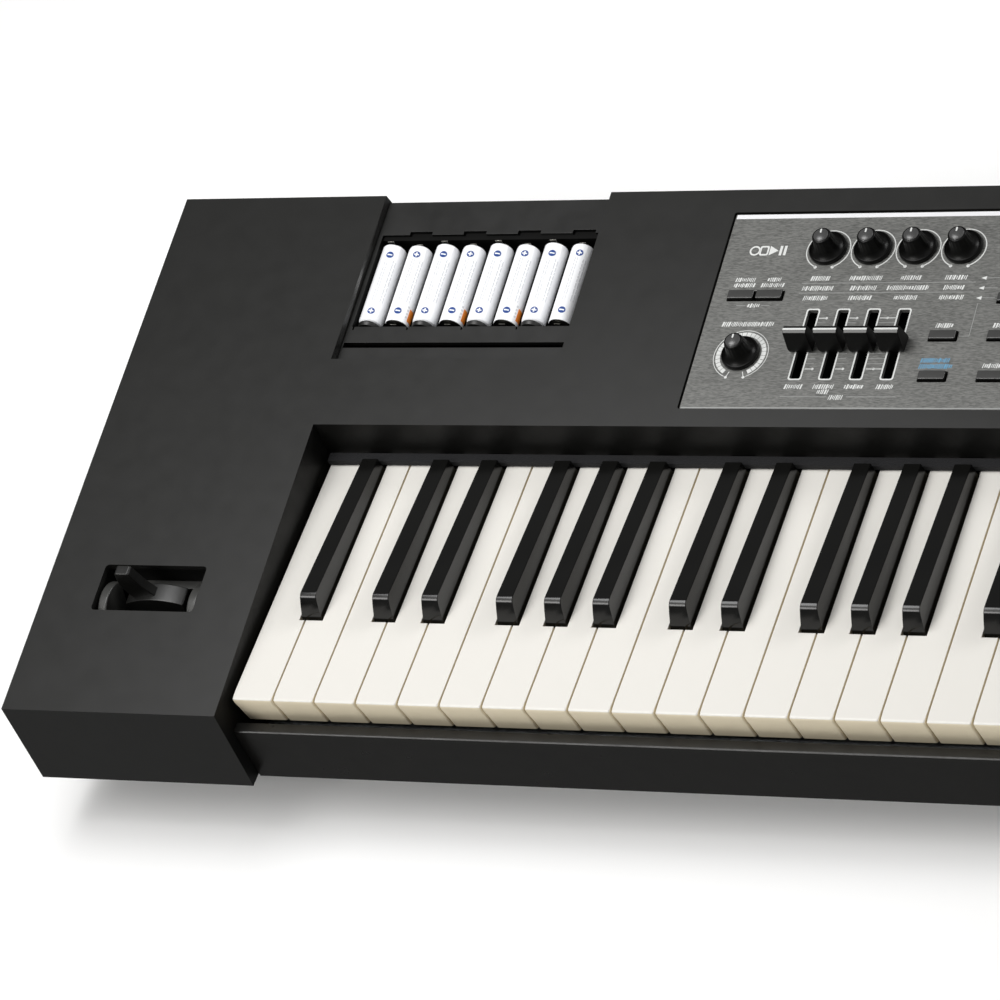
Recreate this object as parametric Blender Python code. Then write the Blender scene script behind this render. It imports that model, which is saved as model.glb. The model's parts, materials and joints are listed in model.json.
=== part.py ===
"""An 88-key stage synthesizer that stands on four feet on the plane Z = 0.

X runs along the keyboard from bass to treble, Y from the player to the back, and Z is up.
The origin is under the middle of the object's box, and lengths are in metres.
The sloping top face is the deck plane: u is X, v runs up the slope from the front edge,
and w is the height over it.
"""

import math

import bmesh
import bpy
from mathutils import Matrix, Vector

# The whole instrument
WIDTH = 1.440
FRONT_Y = -0.1725
BACK_Y = 0.1725
LEFT_X = -WIDTH / 2
RIGHT_X = WIDTH / 2
GAP = 0.0003
WALL = 0.003

# Keys
PITCH = 0.0235
NATURALS = 52
LEFT_CHEEK = 0.1257
CHEEK_GAP = 0.003
KEYS_X = LEFT_X + LEFT_CHEEK + CHEEK_GAP
KEYS_Y = -0.1575
KEY_TOP = 0.088
KEY_GAP = 0.0009
NATURAL_LENGTH = 0.1553
SHARP_FRONT = 0.0533
SHARP_WIDTH = 0.0113
SHARP_TOP_WIDTH = 0.0090
SHARP_HEIGHT = 0.0118
SHARP_BACK_HEIGHT = 0.0070
SLOT_WIDTH = 0.0134
HINGE_Y = KEYS_Y + 0.215
HINGE_Z = KEY_TOP - 0.008
NATURAL_TAIL = 0.228
SHARP_TAIL = 0.219
# How far each sharp's middle stands from the joint between its two naturals
SHARP_OFFSETS = {"A": 0.0033, "C": -0.0022, "D": 0.0022, "F": -0.0030, "G": 0.0002}
NOTES = "ABCDEFG"

# Deck plane
DECK_Y = KEYS_Y - 0.0138
DECK_Z = KEY_TOP + 0.0033
SLOPE = math.atan(0.116)
DECK_LENGTH = 0.3267
WELL_WALL_Y = KEYS_Y + 0.1634
SKIRT_Z = KEY_TOP - 0.0519

# Bender
BENDER = (LEFT_X + 0.06195, 0.0754)  # u and v of the opening's middle
BENDER_OPENING = (0.0604, 0.0279)
ROCKER_RADIUS = 0.037
TURN_DEPTH = 0.042
TILT_DEPTH = 0.020

# Battery bay
BAY_U = (-0.5970, -0.4642)
BAY_V = 0.2201
BAY_DEPTH = 0.005
CELL_PITCH = 0.01595
CELL_U = -0.5870
CELL_V = 0.2725
CELL_W = -0.0100
CELL_RADIUS = 0.00645
CELL_LENGTH = 0.0496
CELLS = 8

# Control panel
PANEL_U = (-0.3886, 0.6000)
PANEL_V = (0.1896, 0.3105)
KNOB_U = -0.3316
KNOB_PITCH = 0.0245
KNOB_V = 0.2882
VOLUME = (-0.3633, 0.2230)
SLIDER_U = -0.3303
SLIDER_PITCH = 0.0165
SLIDER_V = (0.2083, 0.2503)
SLIDER_REST_V = 0.2283
DIAL = (0.0300, 0.2350)
DISPLAY = (-0.1500, -0.0300, 0.2350, 0.2900)
BUTTON_SIZE = (0.0150, 0.0062)
BUTTONS = {
    "mode_button_left": (-0.3724, 0.2595),
    "mode_button_right": (-0.3568, 0.2595),
    "select_button": (-0.2566, 0.2340),
    "voice_button": (-0.2566, 0.2095),
    "utility_button_1": (-0.2256, 0.2570),
    "utility_button_2": (-0.2256, 0.2340),
    "utility_button_3": (-0.2256, 0.2095),
}
TONE_MAT = (0.0900, 0.3300, 0.2150, 0.2850)
PAD_MAT = (0.4000, 0.5700, 0.2050, 0.2950)

# Back
JACK_PANEL = (-0.1200, 0.3600, 0.0560, 0.0940)
JACKS = {-0.100: 0.0033, -0.068: 0.0033, -0.036: 0.0033, -0.004: 0.0033, 0.028: 0.0033,
         0.070: 0.0070, 0.104: 0.0070, 0.144: 0.0060, 0.276: 0.0055}
SWITCH_U = 0.325
SWITCH_OFF = math.radians(-8)


def material(name, colour, roughness, metallic=0.0):
    """A plain material in the sub-part's own colour."""
    made = bpy.data.materials.new(name)
    made.use_nodes = True
    shader = made.node_tree.nodes["Principled BSDF"]
    shader.inputs["Base Color"].default_value = (*colour, 1.0)
    shader.inputs["Roughness"].default_value = roughness
    shader.inputs["Metallic"].default_value = metallic
    return made


def box(x0, x1, y0, y1, z0, z1):
    made = bmesh.new()
    middle = Vector(((x0 + x1) / 2, (y0 + y1) / 2, (z0 + z1) / 2))
    size = Matrix.Diagonal((x1 - x0, y1 - y0, z1 - z0, 1.0))
    bmesh.ops.create_cube(made, size=1.0, matrix=Matrix.Translation(middle) @ size)
    return made


def prism(outline, low, high, axis="X"):
    """The outline, drawn in the two other axes in their order, pushed along one axis."""
    made = bmesh.new()

    def point(a, b, along):
        return {"X": (along, a, b), "Y": (a, along, b), "Z": (a, b, along)}[axis]

    base = made.faces.new([made.verts.new(point(a, b, low)) for a, b in outline])
    pushed = bmesh.ops.extrude_face_region(made, geom=[base])
    corners = [item for item in pushed["geom"] if isinstance(item, bmesh.types.BMVert)]
    shift = Vector(point(0.0, 0.0, high)) - Vector(point(0.0, 0.0, low))
    bmesh.ops.translate(made, vec=shift, verts=corners)
    bmesh.ops.recalc_face_normals(made, faces=made.faces)
    return made


def turned(radius, low, high, centre=(0.0, 0.0), axis="Z", sides=32, top_radius=None):
    """A cylinder or cone frustum from low to high along one axis."""
    made = bmesh.new()
    bmesh.ops.create_cone(
        made, cap_ends=True, segments=sides, radius1=radius,
        radius2=radius if top_radius is None else top_radius, depth=high - low,
    )
    bmesh.ops.translate(made, vec=(0.0, 0.0, (low + high) / 2), verts=made.verts)
    if axis == "Y":
        bmesh.ops.rotate(made, matrix=Matrix.Rotation(-math.pi / 2, 3, "X"), verts=made.verts)
        bmesh.ops.translate(made, vec=(centre[0], 0.0, centre[1]), verts=made.verts)
    else:
        bmesh.ops.translate(made, vec=(*centre, 0.0), verts=made.verts)
    return made


def merged(shapes):
    """One bmesh that holds several shapes which stand clear of each other."""
    made = bmesh.new()
    for shape in shapes:
        mesh = bpy.data.meshes.new("shape")
        shape.to_mesh(mesh)
        shape.free()
        made.from_mesh(mesh)
        bpy.data.meshes.remove(mesh)
    return made


def placed(name, shape, where):
    mesh = bpy.data.meshes.new(name)
    shape.to_mesh(mesh)
    shape.free()
    made = bpy.data.objects.new(name, mesh)
    made.matrix_world = where
    bpy.context.scene.collection.objects.link(made)
    return made


def combine(target, shape, operation):
    """Joins the shape to the object or cuts it away."""
    tool = placed("tool", shape, target.matrix_world.copy())
    boolean = target.modifiers.new("combine", "BOOLEAN")
    boolean.operation = operation
    boolean.object = tool
    bpy.context.view_layer.update()
    evaluated = target.evaluated_get(bpy.context.evaluated_depsgraph_get())
    mesh = bpy.data.meshes.new_from_object(evaluated)
    old = target.data
    target.modifiers.clear()
    target.data = mesh
    mesh.name = target.name
    bpy.data.meshes.remove(old)
    used = tool.data
    bpy.data.objects.remove(tool)
    bpy.data.meshes.remove(used)


def solid(name, finish, base, joins=(), cuts=(), where=None):
    """A named sub-part: the base shape, joined with more shapes and then cut."""
    made = placed(name, base, where or Matrix())
    for shape in joins:
        combine(made, shape, "UNION")
    for shape in cuts:
        combine(made, shape, "DIFFERENCE")
    made.data.materials.clear()
    made.data.materials.append(finish)
    made.data.shade_smooth()
    made.data.set_sharp_from_angle(angle=math.radians(35))
    return made


def deck(u=0.0, v=0.0, w=0.0):
    """The frame that stands on the deck plane: X along u, Y up the slope and Z along w."""
    start = Matrix.Translation((0.0, DECK_Y, DECK_Z)) @ Matrix.Rotation(SLOPE, 4, "X")
    return start @ Matrix.Translation((u, v, w))


def deck_z(y):
    """Height of the deck plane over the world's Y."""
    return DECK_Z + (y - DECK_Y) * math.tan(SLOPE)


# ---------------------------------------------------------------- case

def side_outline(inset=0.0, floor=SKIRT_Z):
    """The case seen from its end, pulled in by inset, with its open edge at floor."""
    front = FRONT_Y + inset
    back = BACK_Y - inset
    rear_edge = DECK_Y + DECK_LENGTH * math.cos(SLOPE)
    return [
        (front, floor),
        (DECK_Y + inset, deck_z(DECK_Y) - inset),
        (rear_edge - inset * 0.76, deck_z(rear_edge) - inset * 1.09),
        (rear_edge + 0.0018 - inset * 0.93, deck_z(rear_edge) - 0.0075 - inset * 0.43),
        (back - 0.0020 + inset * 0.18, 0.1000 - inset * 0.57),
        (back, 0.0970 - inset * 0.30),
        (back, 0.0500),
        (back - 0.0065, floor),
    ]


def end_block(name, finish, x0, x1, cuts=()):
    hollow = prism(side_outline(WALL, SKIRT_Z - WALL), x0 + WALL, x1 - WALL)
    return solid(name, finish, prism(side_outline(), x0, x1), cuts=[hollow, *cuts])


def bender_opening_cut():
    """A slot through the left block's top face, in world space."""
    width, length = BENDER_OPENING
    shape = box(-width / 2, width / 2, -length / 2, length / 2, -0.010, 0.010)
    bmesh.ops.transform(shape, matrix=deck(*BENDER), verts=shape.verts)
    return shape


def bay_well_cut():
    """The battery bay's deep part, which stops short of the back wall's outer face."""
    shape = box(*BAY_U, BAY_V, 0.3262, -0.030, 0.020)
    bmesh.ops.transform(shape, matrix=deck(), verts=shape.verts)
    return shape


def bay_mouth_cut():
    """The shallow part of the bay, open to the back."""
    shape = box(*BAY_U, BAY_V, 0.400, -BAY_DEPTH, 0.020)
    bmesh.ops.transform(shape, matrix=deck(), verts=shape.verts)
    return shape


def case():
    plastic = material("case_plastic", (0.045, 0.045, 0.043), 0.55)
    left_end = LEFT_X + LEFT_CHEEK
    right_start = KEYS_X + NATURALS * PITCH + CHEEK_GAP
    end_block("left_end_block", plastic, LEFT_X, left_end,
              [bender_opening_cut(), bay_well_cut(), bay_mouth_cut()])
    end_block("right_end_block", plastic, right_start, RIGHT_X)

    front_low = KEY_TOP + 0.0008
    outer = [(WELL_WALL_Y, front_low), (WELL_WALL_Y, deck_z(WELL_WALL_Y)),
             *side_outline()[2:]]
    inner = [*reversed(side_outline(WALL)[2:]),
             (WELL_WALL_Y + WALL, deck_z(WELL_WALL_Y) - WALL),
             (WELL_WALL_Y + WALL, front_low)]
    panel = box(PANEL_U[0] - GAP, PANEL_U[1] + GAP, PANEL_V[0] - GAP, PANEL_V[1] + GAP,
                -0.010, 0.010)
    bmesh.ops.transform(panel, matrix=deck(), verts=panel.verts)
    u0, u1, z0, z1 = JACK_PANEL
    jacks = box(u0 - GAP, u1 + GAP, 0.160, 0.180, z0 - GAP, z1 + GAP)
    solid("rear_deck", plastic, prism(outer + inner, left_end + GAP, right_start - GAP),
          cuts=[panel, bay_well_cut(), bay_mouth_cut(), jacks])

    slip = material("slip_plastic", (0.040, 0.038, 0.036), 0.45)
    low = KEY_TOP - 0.0536
    top = KEY_TOP - 0.0176
    outline = [(KEYS_Y - 0.0073, low), (KEYS_Y - 0.0078, top), (KEYS_Y - 0.0072, top + 0.0008),
               (KEYS_Y - 0.0017, top + 0.0008), (KEYS_Y - 0.0017, low)]
    solid("key_slip", slip, prism(outline, left_end + GAP, right_start - GAP))

    tray_plastic = material("underside_plastic", (0.030, 0.030, 0.030), 0.6)
    rim = SKIRT_Z - 0.0020

    def basin(inset, low_z, high_z):
        made = box(-0.700 + inset, 0.700 - inset, -0.130 + inset, 0.150 - inset, low_z, high_z)
        for vert in made.verts:
            if vert.co.z > (low_z + high_z) / 2:
                vert.co.x += math.copysign(0.016, vert.co.x)
                vert.co.y += -0.030 if vert.co.y < 0 else 0.014
        return made

    solid("bottom_case", tray_plastic, basin(0.0, 0.012, rim),
          cuts=[basin(WALL * 0.9, 0.0145, rim + 0.0025)])

    rubber = material("foot_rubber", (0.02, 0.02, 0.02), 0.85)
    for name, x, y in (("foot_front_left", -0.640, -0.100), ("foot_front_right", 0.640, -0.100),
                       ("foot_back_left", -0.640, 0.120), ("foot_back_right", 0.640, 0.120)):
        foot = turned(0.0140, 0.0, 0.0117, sides=28, top_radius=0.0160)
        solid(name, rubber, foot, where=Matrix.Translation((x, y, 0.0)))


# ---------------------------------------------------------------- keyboard

def natural_name(index):
    """Letter and octave number of the natural at this place, counted from the lowest."""
    letter = NOTES[index % 7]
    octave = (index + 5) // 7
    return letter, octave


def natural_shape(index):
    """One natural before its slots are cut."""
    x0 = KEYS_X + index * PITCH + KEY_GAP / 2
    outline = [(0.0, 0.0), (NATURAL_TAIL, 0.0), (NATURAL_TAIL, -0.014), (0.009, -0.014),
               (0.009, -0.0205), (0.0037, -0.0205)]
    side = [(KEYS_Y + y, KEY_TOP + z) for y, z in outline]
    return prism(side, x0, x0 + PITCH - KEY_GAP)


def sharp_middle(index):
    """X of the sharp above the natural at this place, or None where there isn't one."""
    letter = NOTES[index % 7]
    if letter not in SHARP_OFFSETS or index >= NATURALS - 1:
        return None
    return KEYS_X + (index + 1) * PITCH + SHARP_OFFSETS[letter]


def slots(first, last):
    """Room for every sharp that touches the naturals from first to last."""
    shapes = []
    for index in range(first - 1, last + 1):
        middle = sharp_middle(index) if index >= 0 else None
        if middle is not None:
            shapes.append(box(middle - SLOT_WIDTH / 2, middle + SLOT_WIDTH / 2,
                              KEYS_Y + SHARP_FRONT - 0.0010, KEYS_Y + 0.2222,
                              KEY_TOP - 0.030, KEY_TOP + 0.010))
    return merged(shapes)


def sharp_shape(index):
    """One sharp: a straight body with a tapered cap on it."""
    middle = sharp_middle(index)
    half, top = SHARP_WIDTH / 2, SHARP_TOP_WIDTH / 2
    low, shoulder = -0.0120, -0.0008
    cap_end = NATURAL_LENGTH - 0.0007
    made = bmesh.new()

    def ring(y, top_y, top_z):
        """Corners round one end of the cap, from the low left one."""
        points = [(-half, y, low), (half, y, low), (half, y, shoulder), (top, top_y, top_z),
                  (-top, top_y, top_z), (-half, y, shoulder)]
        return [made.verts.new((middle + a, KEYS_Y + b, KEY_TOP + c)) for a, b, c in points]

    front = ring(SHARP_FRONT, SHARP_FRONT + 0.0060, SHARP_HEIGHT)
    end = ring(cap_end, cap_end, SHARP_BACK_HEIGHT)
    made.faces.new([front[corner] for corner in (5, 2, 1, 0)])
    made.faces.new([front[corner] for corner in (4, 3, 2, 5)])
    made.faces.new(end)
    for a in range(6):
        b = (a + 1) % 6
        made.faces.new((front[a], front[b], end[b], end[a]))
    bmesh.ops.recalc_face_normals(made, faces=made.faces)
    tail = box(middle - half, middle + half, KEYS_Y + cap_end - 0.004, KEYS_Y + SHARP_TAIL,
               KEY_TOP + low, KEY_TOP + shoulder)
    return made, tail


def hinged(made, x):
    """Puts the object's origin on the keys' hinge line at x and leaves its shape in place."""
    hinge = Vector((x, HINGE_Y, HINGE_Z))
    made.data.transform(Matrix.Translation(-hinge))
    made.location = hinge


def keyboard():
    ivory = material("natural_plastic", (0.86, 0.83, 0.76), 0.35)
    ebony = material("sharp_plastic", (0.02, 0.02, 0.02), 0.3)
    first_octave = 7
    for index in range(first_octave):
        letter, octave = natural_name(index)
        natural = solid(f"key_{letter}{octave}", ivory, natural_shape(index),
                        cuts=[slots(index, index)])
        hinged(natural, KEYS_X + (index + 0.5) * PITCH)
        if sharp_middle(index) is not None:
            cap, tail = sharp_shape(index)
            hinged(solid(f"key_{letter}s{octave}", ebony, cap, joins=[tail]), sharp_middle(index))
    for first, last in ((7, 20), (21, 34), (35, 51)):
        name = "_".join("{}{}".format(*natural_name(index)) for index in (first, last))
        comb = box(KEYS_X + first * PITCH + KEY_GAP, KEYS_X + (last + 1) * PITCH - KEY_GAP,
                   KEYS_Y + NATURAL_TAIL - 0.0045, KEYS_Y + NATURAL_TAIL - 0.0005,
                   KEY_TOP - 0.013, KEY_TOP - 0.001)
        whole = [natural_shape(index) for index in range(first, last + 1)]
        naturals = solid(f"naturals_{name}", ivory, merged(whole), cuts=[slots(first, last)])
        combine(naturals, comb, "UNION")
        middle = KEYS_X + (first + last + 1) / 2 * PITCH
        hinged(naturals, middle)
        sharps = [index for index in range(first, last + 1) if sharp_middle(index) is not None]
        shapes = [sharp_shape(index) for index in sharps]
        ends = [sharp_middle(sharps[0]) - 0.004, sharp_middle(sharps[-1]) + 0.004]
        rail = box(*ends, KEYS_Y + 0.2110, KEYS_Y + 0.2170, KEY_TOP - 0.0210, KEY_TOP - 0.0160)
        legs = [box(sharp_middle(index) - 0.003, sharp_middle(index) + 0.003,
                    KEYS_Y + 0.2120, KEYS_Y + 0.2160, KEY_TOP - 0.0200, KEY_TOP - 0.0100)
                for index in sharps]
        blacks = solid(f"sharps_{name}", ebony, merged([cap for cap, _ in shapes]),
                       joins=[merged([tail for _, tail in shapes]), merged(legs), rail])
        hinged(blacks, middle)

    steel = material("chassis_steel", (0.55, 0.56, 0.57), 0.4, 0.9)
    x0, x1 = KEYS_X + 0.002, KEYS_X + NATURALS * PITCH - 0.002
    low = 0.0148

    def bar(y0, y1, z0, z1):
        return box(x0, x1, KEYS_Y + y0, KEYS_Y + y1, z0, z1)

    plate = (KEY_TOP - 0.038, KEY_TOP - 0.036)
    solid("keybed_chassis", steel, bar(0.012, 0.240, *plate),
          joins=[bar(0.013, 0.016, plate[0] + 0.0005, KEY_TOP - 0.026),
                 bar(0.233, 0.2395, plate[0] + 0.0005, KEY_TOP - 0.012),
                 bar(0.040, 0.043, low, plate[1] - 0.0005),
                 bar(0.120, 0.123, low, plate[1] - 0.0005),
                 bar(0.200, 0.203, low, plate[1] - 0.0005)])
    felt = material("key_felt", (0.03, 0.03, 0.045), 0.95)
    solid("key_felt", felt, box(KEYS_X, KEYS_X + NATURALS * PITCH, KEYS_Y + NATURAL_LENGTH + 0.0004,
                                WELL_WALL_Y - 0.0022, KEY_TOP + 0.0008, KEY_TOP + 0.0040))


# ---------------------------------------------------------------- bender

def bender():
    """The lever turns left and right in a cradle that tips away from the player."""
    grey = material("bender_grey", (0.10, 0.10, 0.10), 0.45)
    black = material("bender_black", (0.03, 0.03, 0.03), 0.4)
    front, split = -0.0136, -0.0072
    tilt = deck(*BENDER, -TILT_DEPTH)

    def horn(side):
        """A rounded cheek at one end of the cradle, in the cradle's own frame."""
        centre_y, centre_z, radius = -0.0034, TILT_DEPTH - 0.0175, 0.0155
        steps = 9
        arc = []
        for step in range(steps + 1):
            angle = math.radians(130 - step * 98 / steps)
            arc.append((centre_y + radius * math.cos(angle), centre_z + radius * math.sin(angle)))
        arc += [(split, -0.012), (front + 0.0001, -0.012)]
        inner, outer = 0.0238, 0.0290
        return prism(arc, *sorted((side * inner, side * outer)))

    beam = box(-0.0290, 0.0290, front, split, -0.030, -0.006)
    solid("bender_cradle", grey, beam, joins=[horn(-1), horn(1)], where=tilt)

    half_angle = math.radians(28)
    steps = 12
    arc = [(0.0, -0.004)]
    arc += [(ROCKER_RADIUS * math.sin(a), ROCKER_RADIUS * math.cos(a))
            for a in (half_angle - step * 2 * half_angle / steps for step in range(steps + 1))]
    rocker = prism(arc, split + 0.0030, split + 0.0138, "Y")
    paddle = prism([(-0.0110, 0.0360), (0.0035, 0.0360), (-0.0035, 0.0465), (-0.0052, 0.0570),
                    (-0.0130, 0.0570), (-0.0150, 0.0470)],
                   split + 0.0057, split + 0.0112, "Y")
    solid("bender_lever", black, rocker, joins=[paddle],
          where=deck(*BENDER, -TURN_DEPTH))


# ---------------------------------------------------------------- batteries

def batteries():
    plastic = material("bay_plastic", (0.03, 0.03, 0.03), 0.6)
    u0, u1 = BAY_U[0] + GAP, BAY_U[1] - GAP
    wall = 0.0020
    v0, v1 = 0.2424, 0.3036
    plate = box(u0, u1, BAY_V + GAP, 0.3259, -BAY_DEPTH - 0.0025, -BAY_DEPTH)
    well = box(u0, u1, v0, v1, -0.0195, -BAY_DEPTH)
    hollow = box(u0 + wall, u1 - wall, v0 + wall, v1 - wall, -0.0175, 0.0)
    solid("battery_tray", plastic, plate, joins=[well], cuts=[hollow], where=deck())

    shell = material("cell_sleeve", (0.85, 0.86, 0.88), 0.35)
    shapes = [turned(CELL_RADIUS, CELL_V - CELL_LENGTH / 2, CELL_V + CELL_LENGTH / 2,
                     (CELL_U + CELL_PITCH * index, CELL_W), "Y", 24) for index in range(CELLS)]
    ends = (CELL_U - 0.005, CELL_U + CELL_PITCH * (CELLS - 1) + 0.005)
    contacts = [box(*ends, middle - 0.0004, middle + 0.0004, CELL_W - 0.003, CELL_W + 0.003)
                for middle in (CELL_V - CELL_LENGTH / 2 - 0.0003, CELL_V + CELL_LENGTH / 2 + 0.0003)]
    solid("battery_cells", shell, merged(shapes), joins=contacts, where=deck())


# ---------------------------------------------------------------- panel

def mat(name, finish, area, columns, rows, cap, height):
    """Keytops moulded on one sheet."""
    u0, u1, v0, v1 = area
    caps = []
    for column in range(columns):
        for row in range(rows):
            u = u0 + cap[0] / 2 + 0.001 + column * (u1 - u0 - cap[0] - 0.002) / (columns - 1)
            v = v0 + cap[1] / 2 + 0.001 + row * (v1 - v0 - cap[1] - 0.002) / (rows - 1)
            caps.append(box(u - cap[0] / 2, u + cap[0] / 2, v - cap[1] / 2, v + cap[1] / 2,
                            -0.001, height))
    sheet = box(u0, u1, v0, v1, -0.0015, -0.0004)
    solid(name, finish, sheet, joins=[merged(caps)], where=deck())


def panel():
    metal = material("panel_metal", (0.21, 0.22, 0.21), 0.4, 0.6)
    black = material("control_black", (0.02, 0.02, 0.02), 0.35)
    rubber = material("button_rubber", (0.12, 0.12, 0.12), 0.6)
    glass = material("display_glass", (0.02, 0.03, 0.05), 0.1)
    board = material("circuit_board", (0.02, 0.10, 0.05), 0.5)

    def through(x0, x1, y0, y1):
        return box(x0 - GAP, x1 + GAP, y0 - GAP, y1 + GAP, -0.010, 0.010)

    knobs = [(KNOB_U + KNOB_PITCH * index, KNOB_V) for index in range(4)]
    sliders = [SLIDER_U + SLIDER_PITCH * index for index in range(4)]
    half_u, half_v = BUTTON_SIZE[0] / 2, BUTTON_SIZE[1] / 2
    holes = [turned(0.0034, -0.010, 0.010, spot, sides=16) for spot in [*knobs, VOLUME, DIAL]]
    holes += [box(u - 0.0032, u + 0.0032, *SLIDER_V, -0.010, 0.010) for u in sliders]
    pair = [spot for name, spot in BUTTONS.items() if "mode" in name]
    holes += [through(u - half_u, u + half_u, v - half_v, v + half_v)
              for u, v in BUTTONS.values() if (u, v) not in pair]
    holes.append(through(pair[0][0] - half_u, pair[1][0] + half_u,
                         pair[0][1] - half_v, pair[0][1] + half_v))
    holes += [through(*DISPLAY), through(*TONE_MAT), through(*PAD_MAT)]
    plate = box(*PANEL_U, *PANEL_V, -0.0030, 0.0)
    solid("control_panel", metal, plate, cuts=[merged(holes)], where=deck())
    solid("panel_board", board, box(PANEL_U[0] + 0.006, PANEL_U[1] - 0.006, PANEL_V[0] + 0.008,
                                    PANEL_V[1] - 0.004, -0.0116, -0.0100), where=deck())
    solid("display_window", glass, box(*DISPLAY, -0.0030, -0.0004), where=deck())
    solid("main_board", board, box(-0.250, 0.150, 0.095, 0.150, 0.0300, 0.0316))

    def knob(name, spot, radius, top, height):
        skirt = turned(radius, 0.0005, 0.0045, sides=36)
        grip = turned(top * 1.25, 0.0040, height, sides=24, top_radius=top)
        shaft = turned(0.0030, -0.0080, 0.0010, sides=16)
        solid(name, black, skirt, joins=[grip, shaft], where=deck(*spot))

    for number, spot in enumerate(knobs, 1):
        knob(f"sound_knob_{number}", spot, 0.0101, 0.0048, 0.0130)
    knob("volume_knob", VOLUME, 0.0101, 0.0048, 0.0130)
    knob("value_dial", DIAL, 0.0200, 0.0150, 0.0110)

    for number, u in enumerate(sliders, 1):
        side = [(-0.0044, 0.0008), (0.0044, 0.0008), (0.0046, 0.0030), (0.0022, 0.0136),
                (-0.0022, 0.0136), (-0.0046, 0.0030)]
        cap = prism(side, -0.0066, 0.0066)
        stem = box(-0.0012, 0.0012, -0.0030, 0.0030, -0.0070, 0.0020)
        solid(f"level_slider_{number}", black, cap, joins=[stem],
              where=deck(u, SLIDER_REST_V))

    for name, spot in BUTTONS.items():
        cap = box(-half_u, half_u, -half_v, half_v, -0.0050, 0.0014)
        foot = box(-half_u - 0.0006, half_u + 0.0006, -half_v - 0.0006, half_v + 0.0006,
                   -0.0062, -0.0045)
        solid(name, rubber, cap, joins=[foot] if "mode" not in name else [],
              where=deck(*spot))
    mat("tone_button_mat", rubber, TONE_MAT, 8, 3, (0.018, 0.008), 0.0014)
    mat("pad_mat", rubber, PAD_MAT, 4, 2, (0.032, 0.034), 0.0030)


# ---------------------------------------------------------------- back

def back():
    metal = material("jack_panel_metal", (0.05, 0.05, 0.05), 0.5, 0.3)
    u0, u1, z0, z1 = JACK_PANEL
    middle = (z0 + z1) / 2
    plate = box(u0, u1, 0.1605, 0.1715, z0, z1)
    bores = [turned(radius, 0.1630, 0.1900, (u, middle), "Y", 20) for u, radius in JACKS.items()]
    usb = box(0.196, 0.209, 0.1630, 0.190, middle - 0.0055, middle + 0.0055)
    switch = box(SWITCH_U - 0.0115, SWITCH_U + 0.0115, 0.1500, 0.190, middle - 0.0068,
                 middle + 0.0068)
    solid("rear_jack_panel", metal, plate, cuts=[merged([*bores, usb, switch])])
    black = material("switch_black", (0.02, 0.02, 0.02), 0.4)
    rocker = box(-0.0100, 0.0100, -0.0040, 0.0045, -0.0060, 0.0060)
    solid("power_switch", black, rocker,
          where=Matrix.Translation((SWITCH_U, 0.1660, middle)) @ Matrix.Rotation(SWITCH_OFF, 4, "Z"))


def build():
    for old in list(bpy.data.objects):
        bpy.data.objects.remove(old)
    case()
    keyboard()
    bender()
    batteries()
    panel()
    back()


build()
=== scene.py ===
"""The looks of an 88-key stage synthesizer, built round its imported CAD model.

Lengths are in metres in the frame's own axes: X along the keys, Y to the back, Z up.
The sloping top face is the deck: u is X, v runs up the slope from the front edge and w is the
height over it. Shapes are small bmesh functions, and each sub-part has a section of its own.
"""

import json
import math
import random

import bmesh
import bpy
from mathutils import Euler, Matrix, Vector


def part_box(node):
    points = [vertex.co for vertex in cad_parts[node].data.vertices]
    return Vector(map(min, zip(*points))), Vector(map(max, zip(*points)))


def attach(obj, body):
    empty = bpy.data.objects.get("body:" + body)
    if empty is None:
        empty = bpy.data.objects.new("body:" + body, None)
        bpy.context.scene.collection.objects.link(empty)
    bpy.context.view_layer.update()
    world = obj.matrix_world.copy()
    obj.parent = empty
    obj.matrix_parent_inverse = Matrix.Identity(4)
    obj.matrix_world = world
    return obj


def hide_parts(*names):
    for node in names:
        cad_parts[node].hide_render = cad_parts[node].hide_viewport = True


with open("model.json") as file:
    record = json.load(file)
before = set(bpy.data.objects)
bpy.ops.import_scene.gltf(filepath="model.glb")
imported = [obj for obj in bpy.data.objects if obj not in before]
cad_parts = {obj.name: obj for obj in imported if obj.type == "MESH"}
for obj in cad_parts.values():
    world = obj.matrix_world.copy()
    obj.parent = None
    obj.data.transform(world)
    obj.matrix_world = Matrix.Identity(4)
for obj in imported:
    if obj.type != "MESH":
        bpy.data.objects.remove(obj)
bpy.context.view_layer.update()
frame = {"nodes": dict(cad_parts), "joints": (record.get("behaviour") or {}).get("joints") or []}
scene = bpy.context.scene

# ---------------------------------------------------------------- places, from the frame

JOINTS = {joint["name"]: joint for joint in frame["joints"]}
NORMAL = -Vector(JOINTS["volume_knob_turn"]["axis"])
UPHILL = Vector(JOINTS["level_slider_1_slide"]["axis"])
GAP = 0.0003
WALL = 0.003


def corners(node):
    return [vertex.co for vertex in frame["nodes"][node].data.vertices]


def deck_frame():
    """The matrix from deck coordinates to the frame, read from the left end block's top face."""
    points = corners("left_end_block")
    height = max(point.dot(NORMAL) for point in points)
    front = min(point.dot(UPHILL) for point in points if point.dot(NORMAL) > height - 0.00005)
    made = Matrix.Identity(4)
    for column, direction in enumerate((Vector((1.0, 0.0, 0.0)), UPHILL, NORMAL)):
        for row in range(3):
            made[row][column] = direction[row]
    made.translation = UPHILL * front + NORMAL * height
    return made


DECK = deck_frame()
TO_DECK = DECK.inverted()


def deck(u=0.0, v=0.0, w=0.0):
    return DECK @ Matrix.Translation((u, v, w))


def deck_box(node):
    """Lowest and highest corner of a node, in deck coordinates."""
    points = [TO_DECK @ point for point in corners(node)]
    return (Vector([min(point[axis] for point in points) for axis in range(3)]),
            Vector([max(point[axis] for point in points) for axis in range(3)]))


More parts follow.
